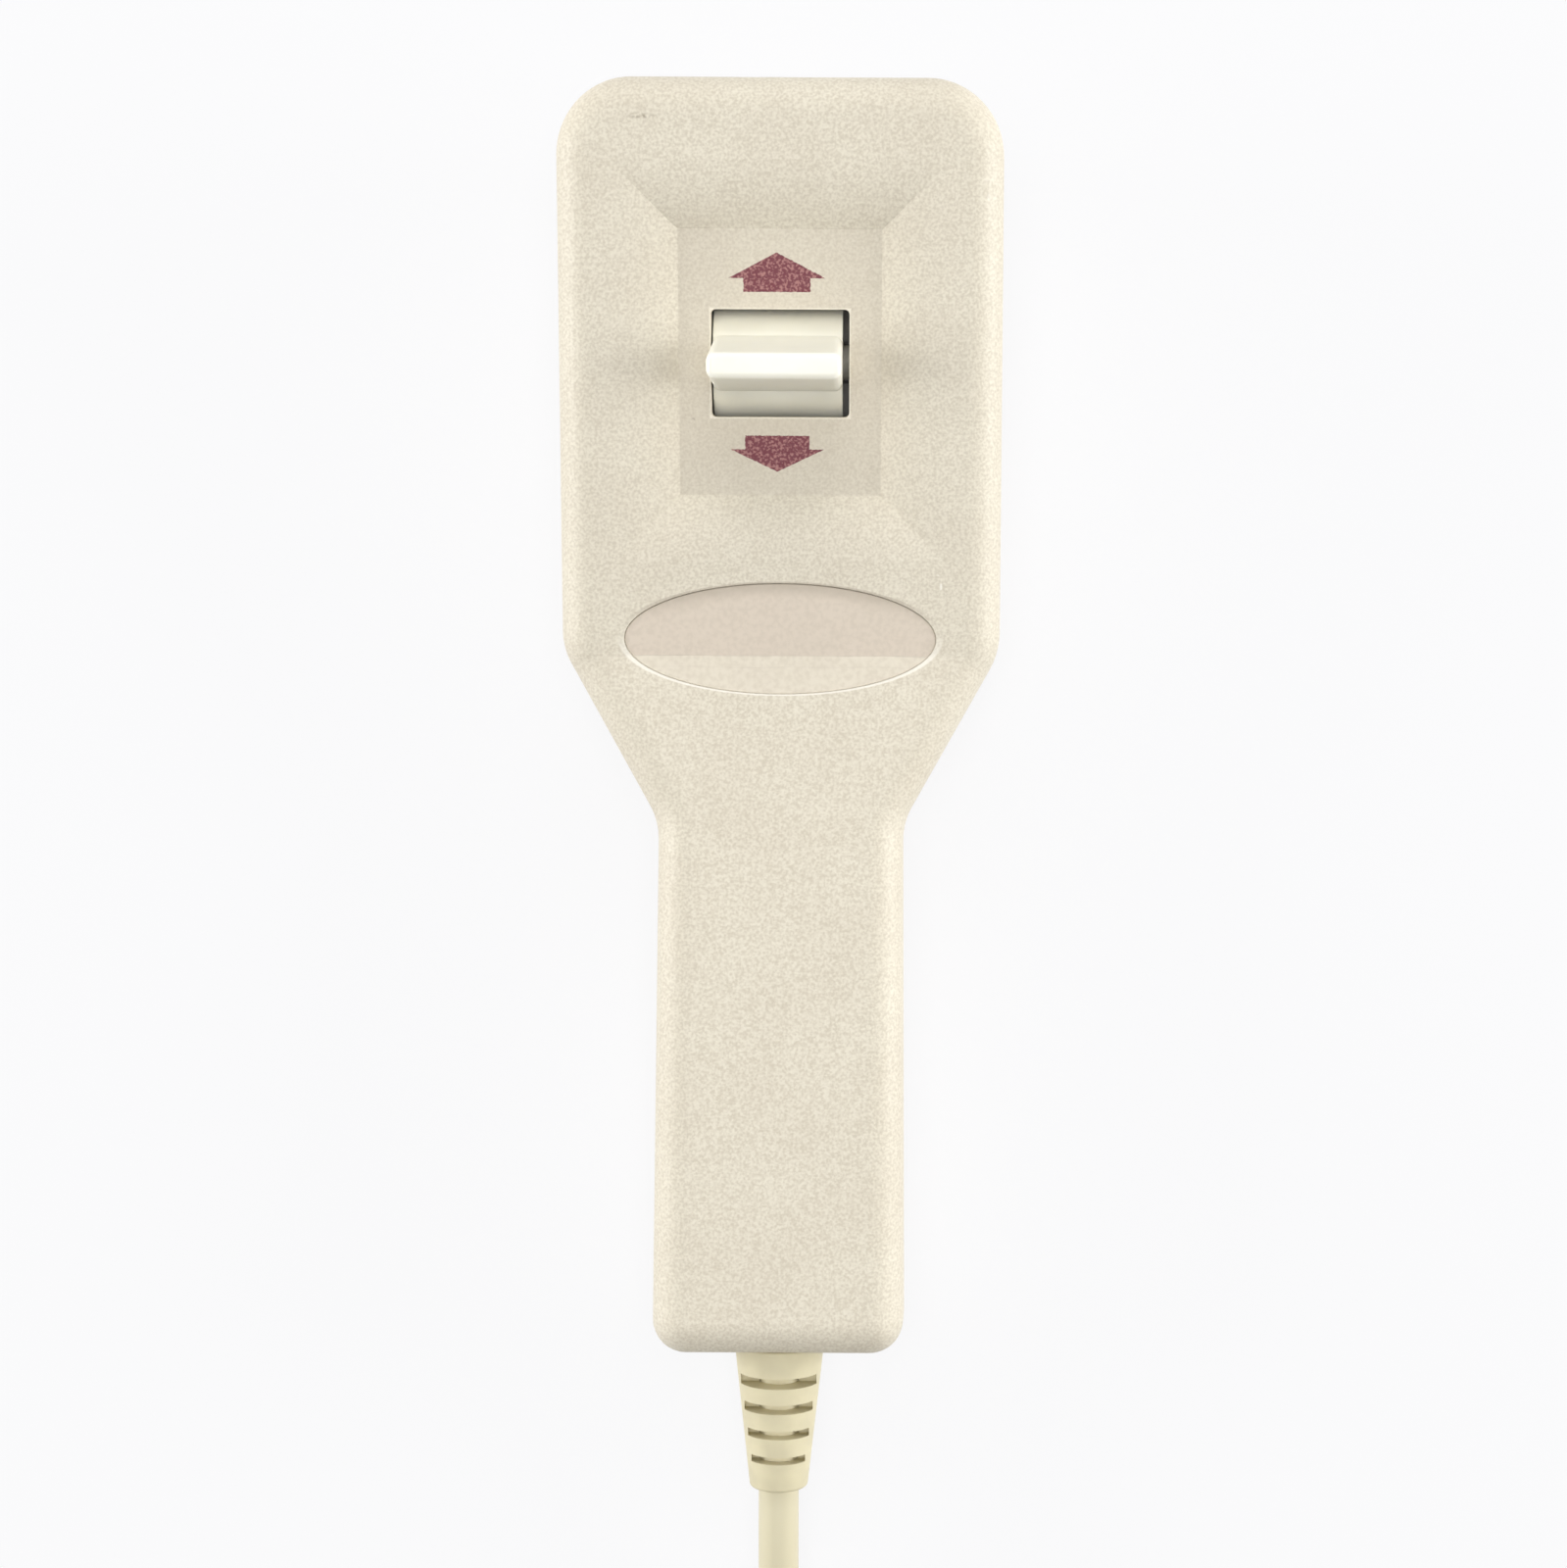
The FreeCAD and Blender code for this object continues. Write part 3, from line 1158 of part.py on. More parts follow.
NODES = [
    "front_shell", "back_shell", "oval_label", "housing_screws",
    "rocker", "rocker_pin", "switch_carrier", "carrier_screws", "circuit_board",
    *(f"{name}_{part}" for name in ("raise", "lower")
      for part in ("switch_case", "switch_plunger", "terminal_common", "terminal_closed", "terminal_open")),
    "strain_relief", "cord_clamp", "clamp_screws",
    *(f"wire_{colour}" for colour in ("red", "black", "white", "green", "blue")),
    "cord_lead", "cord_coil", "coil_tie", "plug_grip", "plug_sleeve", "plug_insert",
    *(f"plug_pin_{number}" for number in range(1, 6)),
]


def write_parts():
    """Checks every object and writes each kept piece."""
    failed = [thing.Name for thing in doc.Objects if {"Invalid", "Error"} & set(thing.State)]
    if failed:
        raise RuntimeError(f"failed: {failed}")
    pieces = {label: doc.getObjectsByLabel(label)[0] for label in NODES}
    for label, piece in pieces.items():
        if piece.Shape.isNull() or not piece.Shape.isValid():
            raise RuntimeError(f"{label} has no valid shape")
    os.makedirs("parts", exist_ok=True)
    for label, piece in pieces.items():
        piece.Shape.exportStep(f"parts/{label}.step")
        box_size = piece.Shape.BoundBox
        print(f"{label:24s} {len(piece.Shape.Solids)} solid {piece.Shape.Volume:10.1f} mm3 "
              f"{box_size.XLength:6.1f} {box_size.YLength:6.1f} {box_size.ZLength:6.1f}")


build()
write_parts()
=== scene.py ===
"""The looks of a lift chair hand control, lying on its back beside its put-away cord.

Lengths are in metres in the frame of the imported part: X to the right, Y towards the top of the
head, Z out of the front face, with the origin under the middle of the housing.
"""

import logging
import math
from dataclasses import dataclass, field
from enum import Enum

import bmesh
import bpy
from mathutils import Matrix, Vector


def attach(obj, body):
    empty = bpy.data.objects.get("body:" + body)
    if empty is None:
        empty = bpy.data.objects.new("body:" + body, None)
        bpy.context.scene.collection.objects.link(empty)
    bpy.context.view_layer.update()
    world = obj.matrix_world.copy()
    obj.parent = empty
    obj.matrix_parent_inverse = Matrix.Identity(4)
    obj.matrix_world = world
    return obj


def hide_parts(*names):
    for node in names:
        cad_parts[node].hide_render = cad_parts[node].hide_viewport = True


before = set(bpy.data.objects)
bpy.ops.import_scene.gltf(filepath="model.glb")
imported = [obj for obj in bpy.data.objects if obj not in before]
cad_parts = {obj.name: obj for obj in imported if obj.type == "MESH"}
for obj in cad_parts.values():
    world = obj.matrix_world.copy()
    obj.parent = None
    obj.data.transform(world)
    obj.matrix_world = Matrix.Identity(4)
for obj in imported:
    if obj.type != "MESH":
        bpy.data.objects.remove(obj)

log = logging.getLogger("hand_control")
MM = 0.001


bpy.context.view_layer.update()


class Body(Enum):
    """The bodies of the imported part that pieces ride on."""

    HOUSING = "housing"
    ROCKER = "rocker"
    RAISE = "raise_plunger"
    LOWER = "lower_plunger"


def linear(red: int, green: int, blue: int) -> tuple[float, float, float, float]:
    """Turns a screen colour into the linear one that a shader takes.

    Args:
        red: red from 0 to 255.
        green: green from 0 to 255.
        blue: blue from 0 to 255.

    Returns:
        Linear red, green, blue and an alpha of 1.
    """
    shares = (value / 255 for value in (red, green, blue))
    return (*(s / 12.92 if s <= 0.04045 else ((s + 0.055) / 1.055) ** 2.4 for s in shares), 1.0)


class Nodes:
    """A material's node tree, with short calls for the nodes that the finishes share."""

    def __init__(self, name: str) -> None:
        """Makes a material with one principled shader.

        Args:
            name: the material's name.
        """
        self.material = bpy.data.materials.new(name)
        self.material.use_nodes = True
        self.tree = self.material.node_tree
        self.shader = self.tree.nodes["Principled BSDF"]
        self.place = self.add("ShaderNodeTexCoord").outputs["Object"]

    def add(self, kind: str, **settings: object) -> bpy.types.Node:
        """Adds a node.

        Args:
            kind: the node's type name.
            settings: properties to set on it.

        Returns:
            The new node.
        """
        node = self.tree.nodes.new(kind)
        for name, setting in settings.items():
            setattr(node, name, setting)
        return node

    def link(self, source: object, target: bpy.types.NodeSocket) -> None:
        """Feeds a socket from another socket, or sets it to a plain value.

        Args:
            source: an output socket or a value.
            target: the input socket.
        """
        if isinstance(source, bpy.types.NodeSocket):
            self.tree.links.new(source, target)
        else:
            target.default_value = source

    def math(self, operation: str, *values: object) -> bpy.types.NodeSocket:
        """Adds a Math node.

        Args:
            operation: the operation's name.
            values: its inputs, as sockets or numbers.

        Returns:
            The output socket.
        """
        node = self.add("ShaderNodeMath", operation=operation)
        for value, target in zip(values, node.inputs):
            self.link(value, target)
        return node.outputs[0]

    def ramp(self, value: object, low: float, high: float, start: float = 0.0,
             end: float = 1.0) -> bpy.types.NodeSocket:
        """Maps a range of a value smoothly to another range.

        Args:
            value: the socket to map.
            low: the value that gives start.
            high: the value that gives end.
            start: the result at low.
            end: the result at high.

        Returns:
            The output socket.
        """
        node = self.add("ShaderNodeMapRange", interpolation_type="SMOOTHSTEP")
        for number, target in zip((value, low, high, start, end), node.inputs):
            self.link(number, target)
        return node.outputs[0]

    def noise(self, scale: float, detail: float = 2.0) -> bpy.types.NodeSocket:
        """Adds a noise of a given fineness, in the object's own coordinates.

        Args:
            scale: waves to a metre.
            detail: octaves of finer noise.

        Returns:
            The noise's value.
        """
        node = self.add("ShaderNodeTexNoise")
        self.link(self.place, node.inputs["Vector"])
        node.inputs["Scale"].default_value = scale
        node.inputs["Detail"].default_value = detail
        return node.outputs["Fac"]

    def mix(self, share: object, first: object, second: object) -> bpy.types.NodeSocket:
        """Mixes two colours.

        Args:
            share: how much of the second.
            first: the first colour.
            second: the second colour.

        Returns:
            The mixed colour.
        """
        node = self.add("ShaderNodeMix", data_type="RGBA", clamp_factor=True)
        for value, target in zip((share, first, second), (node.inputs[0], node.inputs[6], node.inputs[7])):
            self.link(value, target)
        return node.outputs[2]

    def axes(self, place: object = None) -> tuple[bpy.types.NodeSocket, ...]:
        """Splits coordinates into their three numbers.

        Args:
            place: the coordinates, or the object's own where None.

        Returns:
            The sockets of X, Y and Z.
        """
        node = self.add("ShaderNodeSeparateXYZ")
        self.link(self.place if place is None else place, node.inputs[0])
        return tuple(node.outputs)

    def spot(self, centre: tuple[float, float, float],
             reach: tuple[float, float, float]) -> bpy.types.NodeSocket:
        """A soft patch that is 1 at its centre and 0 past its reach.

        Args:
            centre: the patch's middle.
            reach: its half size along each axis.

        Returns:
            The patch's strength.
        """
        shift = self.add("ShaderNodeVectorMath", operation="SUBTRACT")
        self.link(self.place, shift.inputs[0])
        shift.inputs[1].default_value = centre
        scale = self.add("ShaderNodeVectorMath", operation="DIVIDE")
        self.link(shift.outputs[0], scale.inputs[0])
        scale.inputs[1].default_value = reach
        length = self.add("ShaderNodeVectorMath", operation="LENGTH")
        self.link(scale.outputs[0], length.inputs[0])
        return self.ramp(length.outputs["Value"], 1.0, 0.0)

    def bump(self, height: object, distance: float, strength: float) -> bpy.types.NodeSocket:
        """Raises the surface by a height pattern.

        Args:
            height: the pattern.
            distance: its full height in metres.
            strength: how much of it shows.

        Returns:
            The bent normal.
        """
        node = self.add("ShaderNodeBump")
        node.inputs["Strength"].default_value = strength
        node.inputs["Distance"].default_value = distance
        self.link(height, node.inputs["Height"])
        return node.outputs[0]

    def finish(self, colour: object, roughness: object, normal: object = None,
               **fixed: float) -> bpy.types.Material:
        """Feeds the shader.

        Args:
            colour: the base colour.
            roughness: the roughness.
            normal: the bent normal.
            fixed: other sockets that are the same all over, with an underscore for each space.

        Returns:
            The material.
        """
        self.link(colour, self.shader.inputs["Base Color"])
        self.link(roughness, self.shader.inputs["Roughness"])
        if normal is not None:
            self.link(normal, self.shader.inputs["Normal"])
        for name, value in fixed.items():
            self.shader.inputs[name.replace("_", " ")].default_value = value
        return self.material


@dataclass(frozen=True)
class HeadFrame:
    """The tilted frame of the sunk field: where its floor lies and how far it leans."""

    lean: float = math.radians(12.0)
    floor: tuple[float, float, float] = (0.0, 47.357 * MM, 27.755 * MM)

    def enter(self, nodes: Nodes) -> bpy.types.NodeSocket:
        """Adds nodes that turn the object's coordinates into this frame's.

        Args:
            nodes: the material that needs them.

        Returns:
            The coordinates in this frame.
        """
        shift = nodes.add("ShaderNodeVectorMath", operation="SUBTRACT")
        nodes.link(nodes.place, shift.inputs[0])
        shift.inputs[1].default_value = self.floor
        turn = nodes.add("ShaderNodeVectorRotate", rotation_type="X_AXIS")
        nodes.link(shift.outputs[0], turn.inputs["Vector"])
        turn.inputs["Angle"].default_value = -self.lean
        return turn.outputs[0]


@dataclass(frozen=True)
class Arrow:
    """A printed arrow, in the head's frame: distances from the field's middle."""

    tip: float
    barb: float
    stem_end: float
    barb_half: float
    stem_half: float
    across: float = -0.4 * MM

    def cover(self, nodes: Nodes, x: object, y: object) -> bpy.types.NodeSocket:
        """Adds nodes that say where the print lies.

        Args:
            nodes: the material that needs them.
            x: the coordinate across the head.
            y: the coordinate along the head.

        Returns:
            1 inside the arrow and 0 outside.
        """
        side = nodes.math("ABSOLUTE", nodes.math("SUBTRACT", x, self.across))
        up = 1.0 if self.tip > 0 else -1.0
        along = nodes.math("MULTIPLY", y, up)
        tip, barb, end = (abs(number) for number in (self.tip, self.barb, self.stem_end))
        slope = self.barb_half / (tip - barb)
        edge = nodes.math("MULTIPLY", nodes.math("SUBTRACT", tip, along), slope)
        in_head = nodes.math("MULTIPLY", nodes.math("LESS_THAN", side, edge),
                             nodes.math("GREATER_THAN", along, barb))
        in_stem = nodes.math("MULTIPLY", nodes.math("LESS_THAN", side, self.stem_half),
                             nodes.math("GREATER_THAN", along, end))
        in_stem = nodes.math("MULTIPLY", in_stem, nodes.math("LESS_THAN", along, barb + 0.00001))
        return nodes.math("MAXIMUM", in_head, in_stem)


@dataclass(frozen=True)
class MarkAndShade:
    """A soft patch of another colour, used both for small marks left by use and for painted shade."""

    centre: tuple[float, float, float]
    reach: tuple[float, float, float]
    colour: tuple[int, int, int]
    share: float

    def lay(self, nodes: Nodes, colour: object) -> bpy.types.NodeSocket:
        """Mixes the patch into a colour.

        Args:
            nodes: the material that it lies on.
            colour: the colour without the patch.

        Returns:
            The colour with the patch.
        """
        patch = nodes.spot(tuple(part * MM for part in self.centre), tuple(part * MM for part in self.reach))
        broken = 0.0 if min(self.reach) < 2.0 else 0.8
        ragged = nodes.ramp(nodes.noise(2200.0, 3.0), 0.35, 0.6, self.share * broken, self.share)
        return nodes.mix(nodes.math("MULTIPLY", patch, ragged), colour, linear(*self.colour))


@dataclass(frozen=True)
class LabelSeat:
    """The rim of the label's oval seat: a painted highlight line below and a painted shadow line above."""

    middle: float = 11.9 * MM
    half: tuple[float, float] = (20.5 * MM, 7.15 * MM)
    width: float = 0.06
    # Colours of the rim's painted highlight and painted shadow.
    rim_highlight: tuple[int, int, int] = (250, 245, 233)
    shaded: tuple[int, int, int] = (176, 165, 148)

    def reach(self, nodes: Nodes) -> tuple[bpy.types.NodeSocket, bpy.types.NodeSocket]:
        """Adds nodes that say how far out a place lies on the oval.

        Args:
            nodes: the material that needs them.

        Returns:
            The distance from the oval's middle, 1 at its rim, and the place along the housing.
        """
        x, y, _ = nodes.axes()
        along = nodes.math("SUBTRACT", y, self.middle)
        squares = [nodes.math("POWER", nodes.math("ABSOLUTE", nodes.math("DIVIDE", place, half)), 2.0)
                   for place, half in ((x, self.half[0]), (along, self.half[1]))]
        return nodes.math("SQRT", nodes.math("ADD", *squares)), along

    def lay(self, nodes: Nodes, colour: object) -> bpy.types.NodeSocket:
        """Mixes the rim's painted highlight and painted shadow lines into a colour.

        Args:
            nodes: the material that it lies on.
            colour: the colour without the lines.

        Returns:
            The colour with the lines.
        """
        reach, along = self.reach(nodes)
        off = nodes.math("ABSOLUTE", nodes.math("SUBTRACT", reach, 1.0 + 0.35 * self.width))
        line = nodes.ramp(off, 0.25 * self.width, 0.6 * self.width, 1.0, 0.0)
        below = nodes.ramp(along, -0.5 * self.half[1], 0.2 * self.half[1], 0.8, 0.0)
        above = nodes.ramp(along, 0.1 * self.half[1], 0.8 * self.half[1], 0.0, 0.6)
        # Painted highlight along the rim's lower half, painted shadow along its upper half.
        colour = nodes.mix(nodes.math("MULTIPLY", line, below), colour, linear(*self.rim_highlight))
        return nodes.mix(nodes.math("MULTIPLY", line, above), colour, linear(*self.shaded))


@dataclass(frozen=True)
class LabelFilm:
    """The thin film in the oval seat: rosy above its fold, pale below it, with a painted shadow at its upper
    rim.
    """

    above_fold: tuple[int, int, int] = (216, 203, 186)
    below_fold: tuple[int, int, int] = (219, 210, 191)
    # The colour of the painted shadow at the film's upper rim.
    rim: tuple[int, int, int] = (168, 156, 138)
    crease: tuple[int, int, int] = (203, 193, 176)
    cloud: tuple[int, int, int] = (209, 198, 181)
    speck: tuple[int, int, int] = (176, 164, 147)
    fold: float = 9.7 * MM
    seat: LabelSeat = LabelSeat()

    def make(self, name: str) -> bpy.types.Material:
        """Builds the material.

        Args:
            name: the material's name.

        Returns:
            The material.
        """
        nodes = Nodes(name)
        reach, along = self.seat.reach(nodes)
        _, y, _ = nodes.axes()
        upper_part = nodes.ramp(y, self.fold - 0.1 * MM, self.fold + 0.1 * MM)
        colour = nodes.mix(upper_part, linear(*self.below_fold), linear(*self.above_fold))
        clouded = nodes.ramp(nodes.noise(170.0, 3.0), 0.4, 0.7, 0.0, 0.25)
        colour = nodes.mix(clouded, colour, linear(*self.cloud))
        # Painted shadow of the seat's edge over the film's upper rim.
        upper = nodes.ramp(along, 0.2 * self.seat.half[1], 0.9 * self.seat.half[1], 0.0, 0.55)
        near = nodes.ramp(reach, 0.72, 0.98)
        colour = nodes.mix(nodes.math("MULTIPLY", upper, near), colour, linear(*self.rim))
        for place, half, share in ((self.fold, 0.12 * MM, 0.7), (self.fold - 1.5 * MM, 0.09 * MM, 0.3)):
            wave = nodes.math("MULTIPLY", nodes.math("SUBTRACT", nodes.noise(110.0, 1.0), 0.5), 0.6 * MM)
            off = nodes.math("ABSOLUTE", nodes.math("SUBTRACT", nodes.math("ADD", y, wave), place))
            wear_and_highlight = nodes.ramp(nodes.noise(240.0, 2.0), 0.4, 0.6, 0.2, share)
            line = nodes.ramp(off, 0.4 * half, half, 1.0, 0.0)
            colour = nodes.mix(nodes.math("MULTIPLY", line, wear_and_highlight), colour, linear(*self.crease))
        fine = nodes.noise(1500.0, 2.0)
        colour = nodes.mix(nodes.ramp(fine, 0.35, 0.7, 0.0, 0.18), colour, linear(*self.speck))
        return nodes.finish(colour, nodes.ramp(fine, 0.3, 0.7, 0.38, 0.5), nodes.bump(fine, 0.01 * MM, 0.4))


@dataclass(frozen=True)
class HousingPlastic:
    """Cream moulded plastic with a fine eroded grain, and the prints on its sunk field."""

    colour: tuple[int, int, int] = (228, 221, 203)
    dull: tuple[int, int, int] = (217, 208, 190)
    grain_shade: tuple[int, int, int] = (184, 172, 152)
    print_colour: tuple[int, int, int] = (108, 46, 56)
    print_light: tuple[int, int, int] = (166, 116, 112)
    grain: float = 2700.0
    grain_depth: float = 0.05 * MM
    arrows: tuple[Arrow, ...] = (
        Arrow(tip=14.07 * MM, barb=10.83 * MM, stem_end=9.09 * MM,
              barb_half=6.25 * MM, stem_half=4.32 * MM),
        Arrow(tip=-13.94 * MM, barb=-11.04 * MM, stem_end=-9.25 * MM,
              barb_half=6.1 * MM, stem_half=4.2 * MM),
    )
    # Painted shade of the lever: a broad darker patch over its row on the sunk field, and two faint painted
    # shadows beside it.
    lever_shade: tuple[MarkAndShade, ...] = (
        MarkAndShade((0.0, 44.0, 27.5), (21.0, 15.0, 8.0), (196, 185, 166), 0.5),
        MarkAndShade((-14.3, 46.9, 28.0), (3.4, 3.4, 4.0), (188, 178, 160), 0.25),
        MarkAndShade((14.3, 46.9, 28.0), (3.4, 3.4, 4.0), (188, 178, 160), 0.1),
    )
    marks: tuple[MarkAndShade, ...] = (
        MarkAndShade((-17.2, 76.9, 36.3), (2.6, 0.5, 1.5), (150, 138, 118), 0.8),
        MarkAndShade((-11.4, 40.3, 26.3), (0.4, 0.3, 1.0), (132, 120, 106), 0.9),
        MarkAndShade((26.1, 69.6, 33.0), (1.2, 0.5, 1.6), (252, 250, 244), 0.9),
        MarkAndShade((26.6, 67.6, 32.6), (0.4, 1.4, 1.6), (250, 247, 240), 0.7),
        MarkAndShade((20.6, 20.2, 24.2), (0.7, 0.25, 1.0), (247, 243, 232), 0.9),
        MarkAndShade((21.2, 18.8, 24.0), (0.25, 1.3, 1.0), (247, 243, 232), 0.9),
        MarkAndShade((14.2, 13.5, 23.0), (2.6, 0.12, 1.0), (206, 196, 178), 0.5),
        MarkAndShade((-8.0, -38.0, 22.0), (1.6, 0.2, 1.0), (206, 197, 179), 0.5),
        MarkAndShade((9.0, -61.0, 22.0), (0.3, 1.9, 1.0), (240, 234, 218), 0.5),
    )
    wobble: float = 0.22 * MM
    floor_half: tuple[float, float] = (13.2 * MM, 17.0 * MM)
    # Painted shade: the sunk floor is painted darker than the facets around it.
    sunk_floor_shade: float = 0.35
    sunk_floor_shade_colour: tuple[int, int, int] = (198, 188, 170)
    window_half: tuple[float, float] = (9.0 * MM, 6.9 * MM)
    # Painted highlight: a thin lighter line along the window's edge.
    window_highlight_width: float = 0.3 * MM
    window_highlight_colour: tuple[int, int, int] = (243, 236, 219)
    seat: LabelSeat = LabelSeat()

    def make(self, name: str, printed: bool) -> bpy.types.Material:
        """Builds the material.

        Args:
            name: the material's name.
            printed: whether the arrows lie on this piece.

        Returns:
            The material.
        """
        nodes = Nodes(name)
        fine = nodes.noise(self.grain, 3.0)
        broad = nodes.noise(90.0, 3.0)
        dulled = nodes.ramp(broad, 0.35, 0.7, 0.0, 0.35)
        colour = nodes.mix(dulled, linear(*self.colour), linear(*self.dull))
        grainy = nodes.ramp(fine, 0.3, 0.72, 0.0, 0.5)
        colour = nodes.mix(grainy, colour, linear(*self.grain_shade))
        if printed:
            colour = self.lay_front(nodes, colour)
        roughness = nodes.ramp(fine, 0.3, 0.7, 0.46, 0.6)
        normal = nodes.bump(fine, self.grain_depth, 0.8)
        return nodes.finish(colour, roughness, normal, Specular_IOR_Level=0.4)

    def lay_front(self, nodes: Nodes, colour: object) -> bpy.types.NodeSocket:
        """Mixes into a colour the front's painted shade of the lever and of the sunk floor, its prints and
        marks, the painted highlight and painted shadow on the label seat's rim, and a painted highlight
        along the window's edge.

        Args:
            nodes: the front shell's material.
            colour: the plain plastic's colour.

        Returns:
            The colour of the front.
        """
        x, y, _ = nodes.axes(HeadFrame().enter(nodes))
        wobble = nodes.math("MULTIPLY", nodes.math("SUBTRACT", nodes.noise(2400.0, 1.0), 0.5), self.wobble)
        x, y = nodes.math("ADD", x, wobble), nodes.math("ADD", y, wobble)
        # Painted shade of the lever on the sunk field.
        for mark_and_shade in self.lever_shade:
            colour = mark_and_shade.lay(nodes, colour)
        # Painted shade: darkens the sunk floor inside its rectangle, so the facets around it read lighter.
        sunk_floor_shaded = nodes.ramp(self.past(nodes, x, y, self.floor_half), -0.25 * MM, 0.25 * MM, self.sunk_floor_shade, 0.0)
        colour = nodes.mix(sunk_floor_shaded, colour, linear(*self.sunk_floor_shade_colour))
        cover = nodes.math("MAXIMUM", *(arrow.cover(nodes, x, y) for arrow in self.arrows))
        speckle = nodes.ramp(nodes.noise(2900.0, 2.0), 0.45, 0.66)
        colour = nodes.mix(cover, colour, nodes.mix(speckle, linear(*self.print_colour),
                                                    linear(*self.print_light)))
        for mark_and_shade in self.marks:
            colour = mark_and_shade.lay(nodes, colour)
        # Painted highlight below the label seat's rim and painted shadow above it.
        colour = self.seat.lay(nodes, colour)
        # Painted highlight along the window's edge.
        past = self.past(nodes, x, y, self.window_half)
        wear_and_highlight = nodes.ramp(past, 0.1 * self.window_highlight_width, self.window_highlight_width, 0.7, 0.0)
        return nodes.mix(wear_and_highlight, colour, linear(*self.window_highlight_colour))

    def past(self, nodes: Nodes, x: object, y: object, half: tuple[float, float]) -> bpy.types.NodeSocket:
        """Adds nodes that say how far a place lies past a rectangle about the field's middle.

        Args:
            nodes: the front shell's material.
            x: the coordinate across the head.
            y: the coordinate along the head.
            half: the rectangle's half sizes.

        Returns:
            The distance, less than 0 inside.
        """
        return nodes.math("MAXIMUM", *(nodes.math("SUBTRACT", nodes.math("ABSOLUTE", place), side)
                                       for place, side in zip((x, y), half)))


@dataclass(frozen=True)
class Finish:
    """An even finish with a faint cloud and a fine grain, and the nodes it goes on."""

    colour: tuple[int, int, int]
    roughness: float = 0.4
    metallic: float = 0.0
    grain: float = 900.0
    depth: float = 0.006 * MM
    cloud: float = 0.1
    glow_depth: float = 0.0
    nodes: tuple[str, ...] = ()

    def make(self, name: str) -> bpy.types.Material:
        """Builds the material.

        Args:
            name: the material's name.

        Returns:
            The material.
        """
        nodes = Nodes(name)
        darker = tuple(int(part * (1 - self.cloud)) for part in self.colour)
        cloud = nodes.ramp(nodes.noise(160.0, 3.0), 0.35, 0.7)
        colour = nodes.mix(cloud, linear(*self.colour), linear(*darker))
        fine = nodes.noise(self.grain, 2.0)
        roughness = nodes.ramp(fine, 0.3, 0.7, self.roughness * 0.85, self.roughness * 1.15)
        if self.glow_depth:
            nodes.shader.inputs["Subsurface Weight"].default_value = 0.25
            nodes.shader.inputs["Subsurface Radius"].default_value = (1.0, 0.95, 0.85)
            nodes.shader.inputs["Subsurface Scale"].default_value = self.glow_depth
        return nodes.finish(colour, roughness, nodes.bump(fine, self.depth, 0.4), Metallic=self.metallic)


@dataclass
class Dressing:
    """Puts a material on every CAD node."""

    finishes: dict[str, Finish] = field(default_factory=dict)

    def put(self, node: str, material: bpy.types.Material) -> None:
        """Gives a node one material.

        Args:
            node: the CAD node's name.
            material: the material.
        """
        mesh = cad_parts[node].data
        mesh.materials.clear()
        mesh.materials.append(material)

    def build(self) -> None:
        """Makes the materials and puts them on."""
        housing = HousingPlastic()
        self.put("front_shell", housing.make("housing_front", printed=True))
        self.put("back_shell", housing.make("housing_back", printed=False))
        self.put("oval_label", LabelFilm().make("label_film"))
        for name, finish in self.finishes.items():
            material = finish.make(name)
            for node in finish.nodes:
                self.put(node, material)
        log.info("dressed %d nodes", len(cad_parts))


SWITCHES = ("raise", "lower")
FINISHES = {
    "lever_plastic": Finish((254, 251, 236), roughness=0.35, cloud=0.01, glow_depth=1.5 * MM,
                            nodes=("rocker",)),
    "drawn_steel": Finish((190, 190, 190), roughness=0.25, metallic=1.0, nodes=("rocker_pin",)),
    "zinc_plate": Finish((176, 178, 180), roughness=0.35, metallic=1.0,
                         nodes=("housing_screws", "carrier_screws", "clamp_screws")),
    "carrier_plastic": Finish((206, 204, 198), roughness=0.5, nodes=("switch_carrier", "cord_clamp")),
    "board_laminate": Finish((34, 96, 52), roughness=0.35, nodes=("circuit_board",)),
    "switch_plastic": Finish((30, 30, 32), roughness=0.4, nodes=tuple(f"{s}_switch_case" for s in SWITCHES)),
    "plunger_plastic": Finish((150, 34, 30), roughness=0.3,
                              nodes=tuple(f"{s}_switch_plunger" for s in SWITCHES)),
    "nickel_plate": Finish((206, 200, 188), roughness=0.22, metallic=1.0, nodes=(
        *(f"{s}_terminal_{role}" for s in SWITCHES for role in ("common", "closed", "open")),
        "plug_sleeve", *(f"plug_pin_{number}" for number in range(1, 6)))),
    "relief_rubber": Finish((220, 211, 177), roughness=0.5, cloud=0.05, nodes=("strain_relief",)),
    "tie_band": Finish((34, 34, 36), roughness=0.7, nodes=("coil_tie",)),
    "plug_moulding": Finish((38, 38, 40), roughness=0.45, nodes=("plug_grip", "plug_insert")),
    "wire_red": Finish((170, 32, 28), nodes=("wire_red",)),
    "wire_black": Finish((28, 28, 30), nodes=("wire_black",)),
    "wire_white": Finish((226, 226, 220), nodes=("wire_white",)),
    "wire_green": Finish((36, 120, 52), nodes=("wire_green",)),
    "wire_blue": Finish((38, 70, 150), nodes=("wire_blue",)),
}


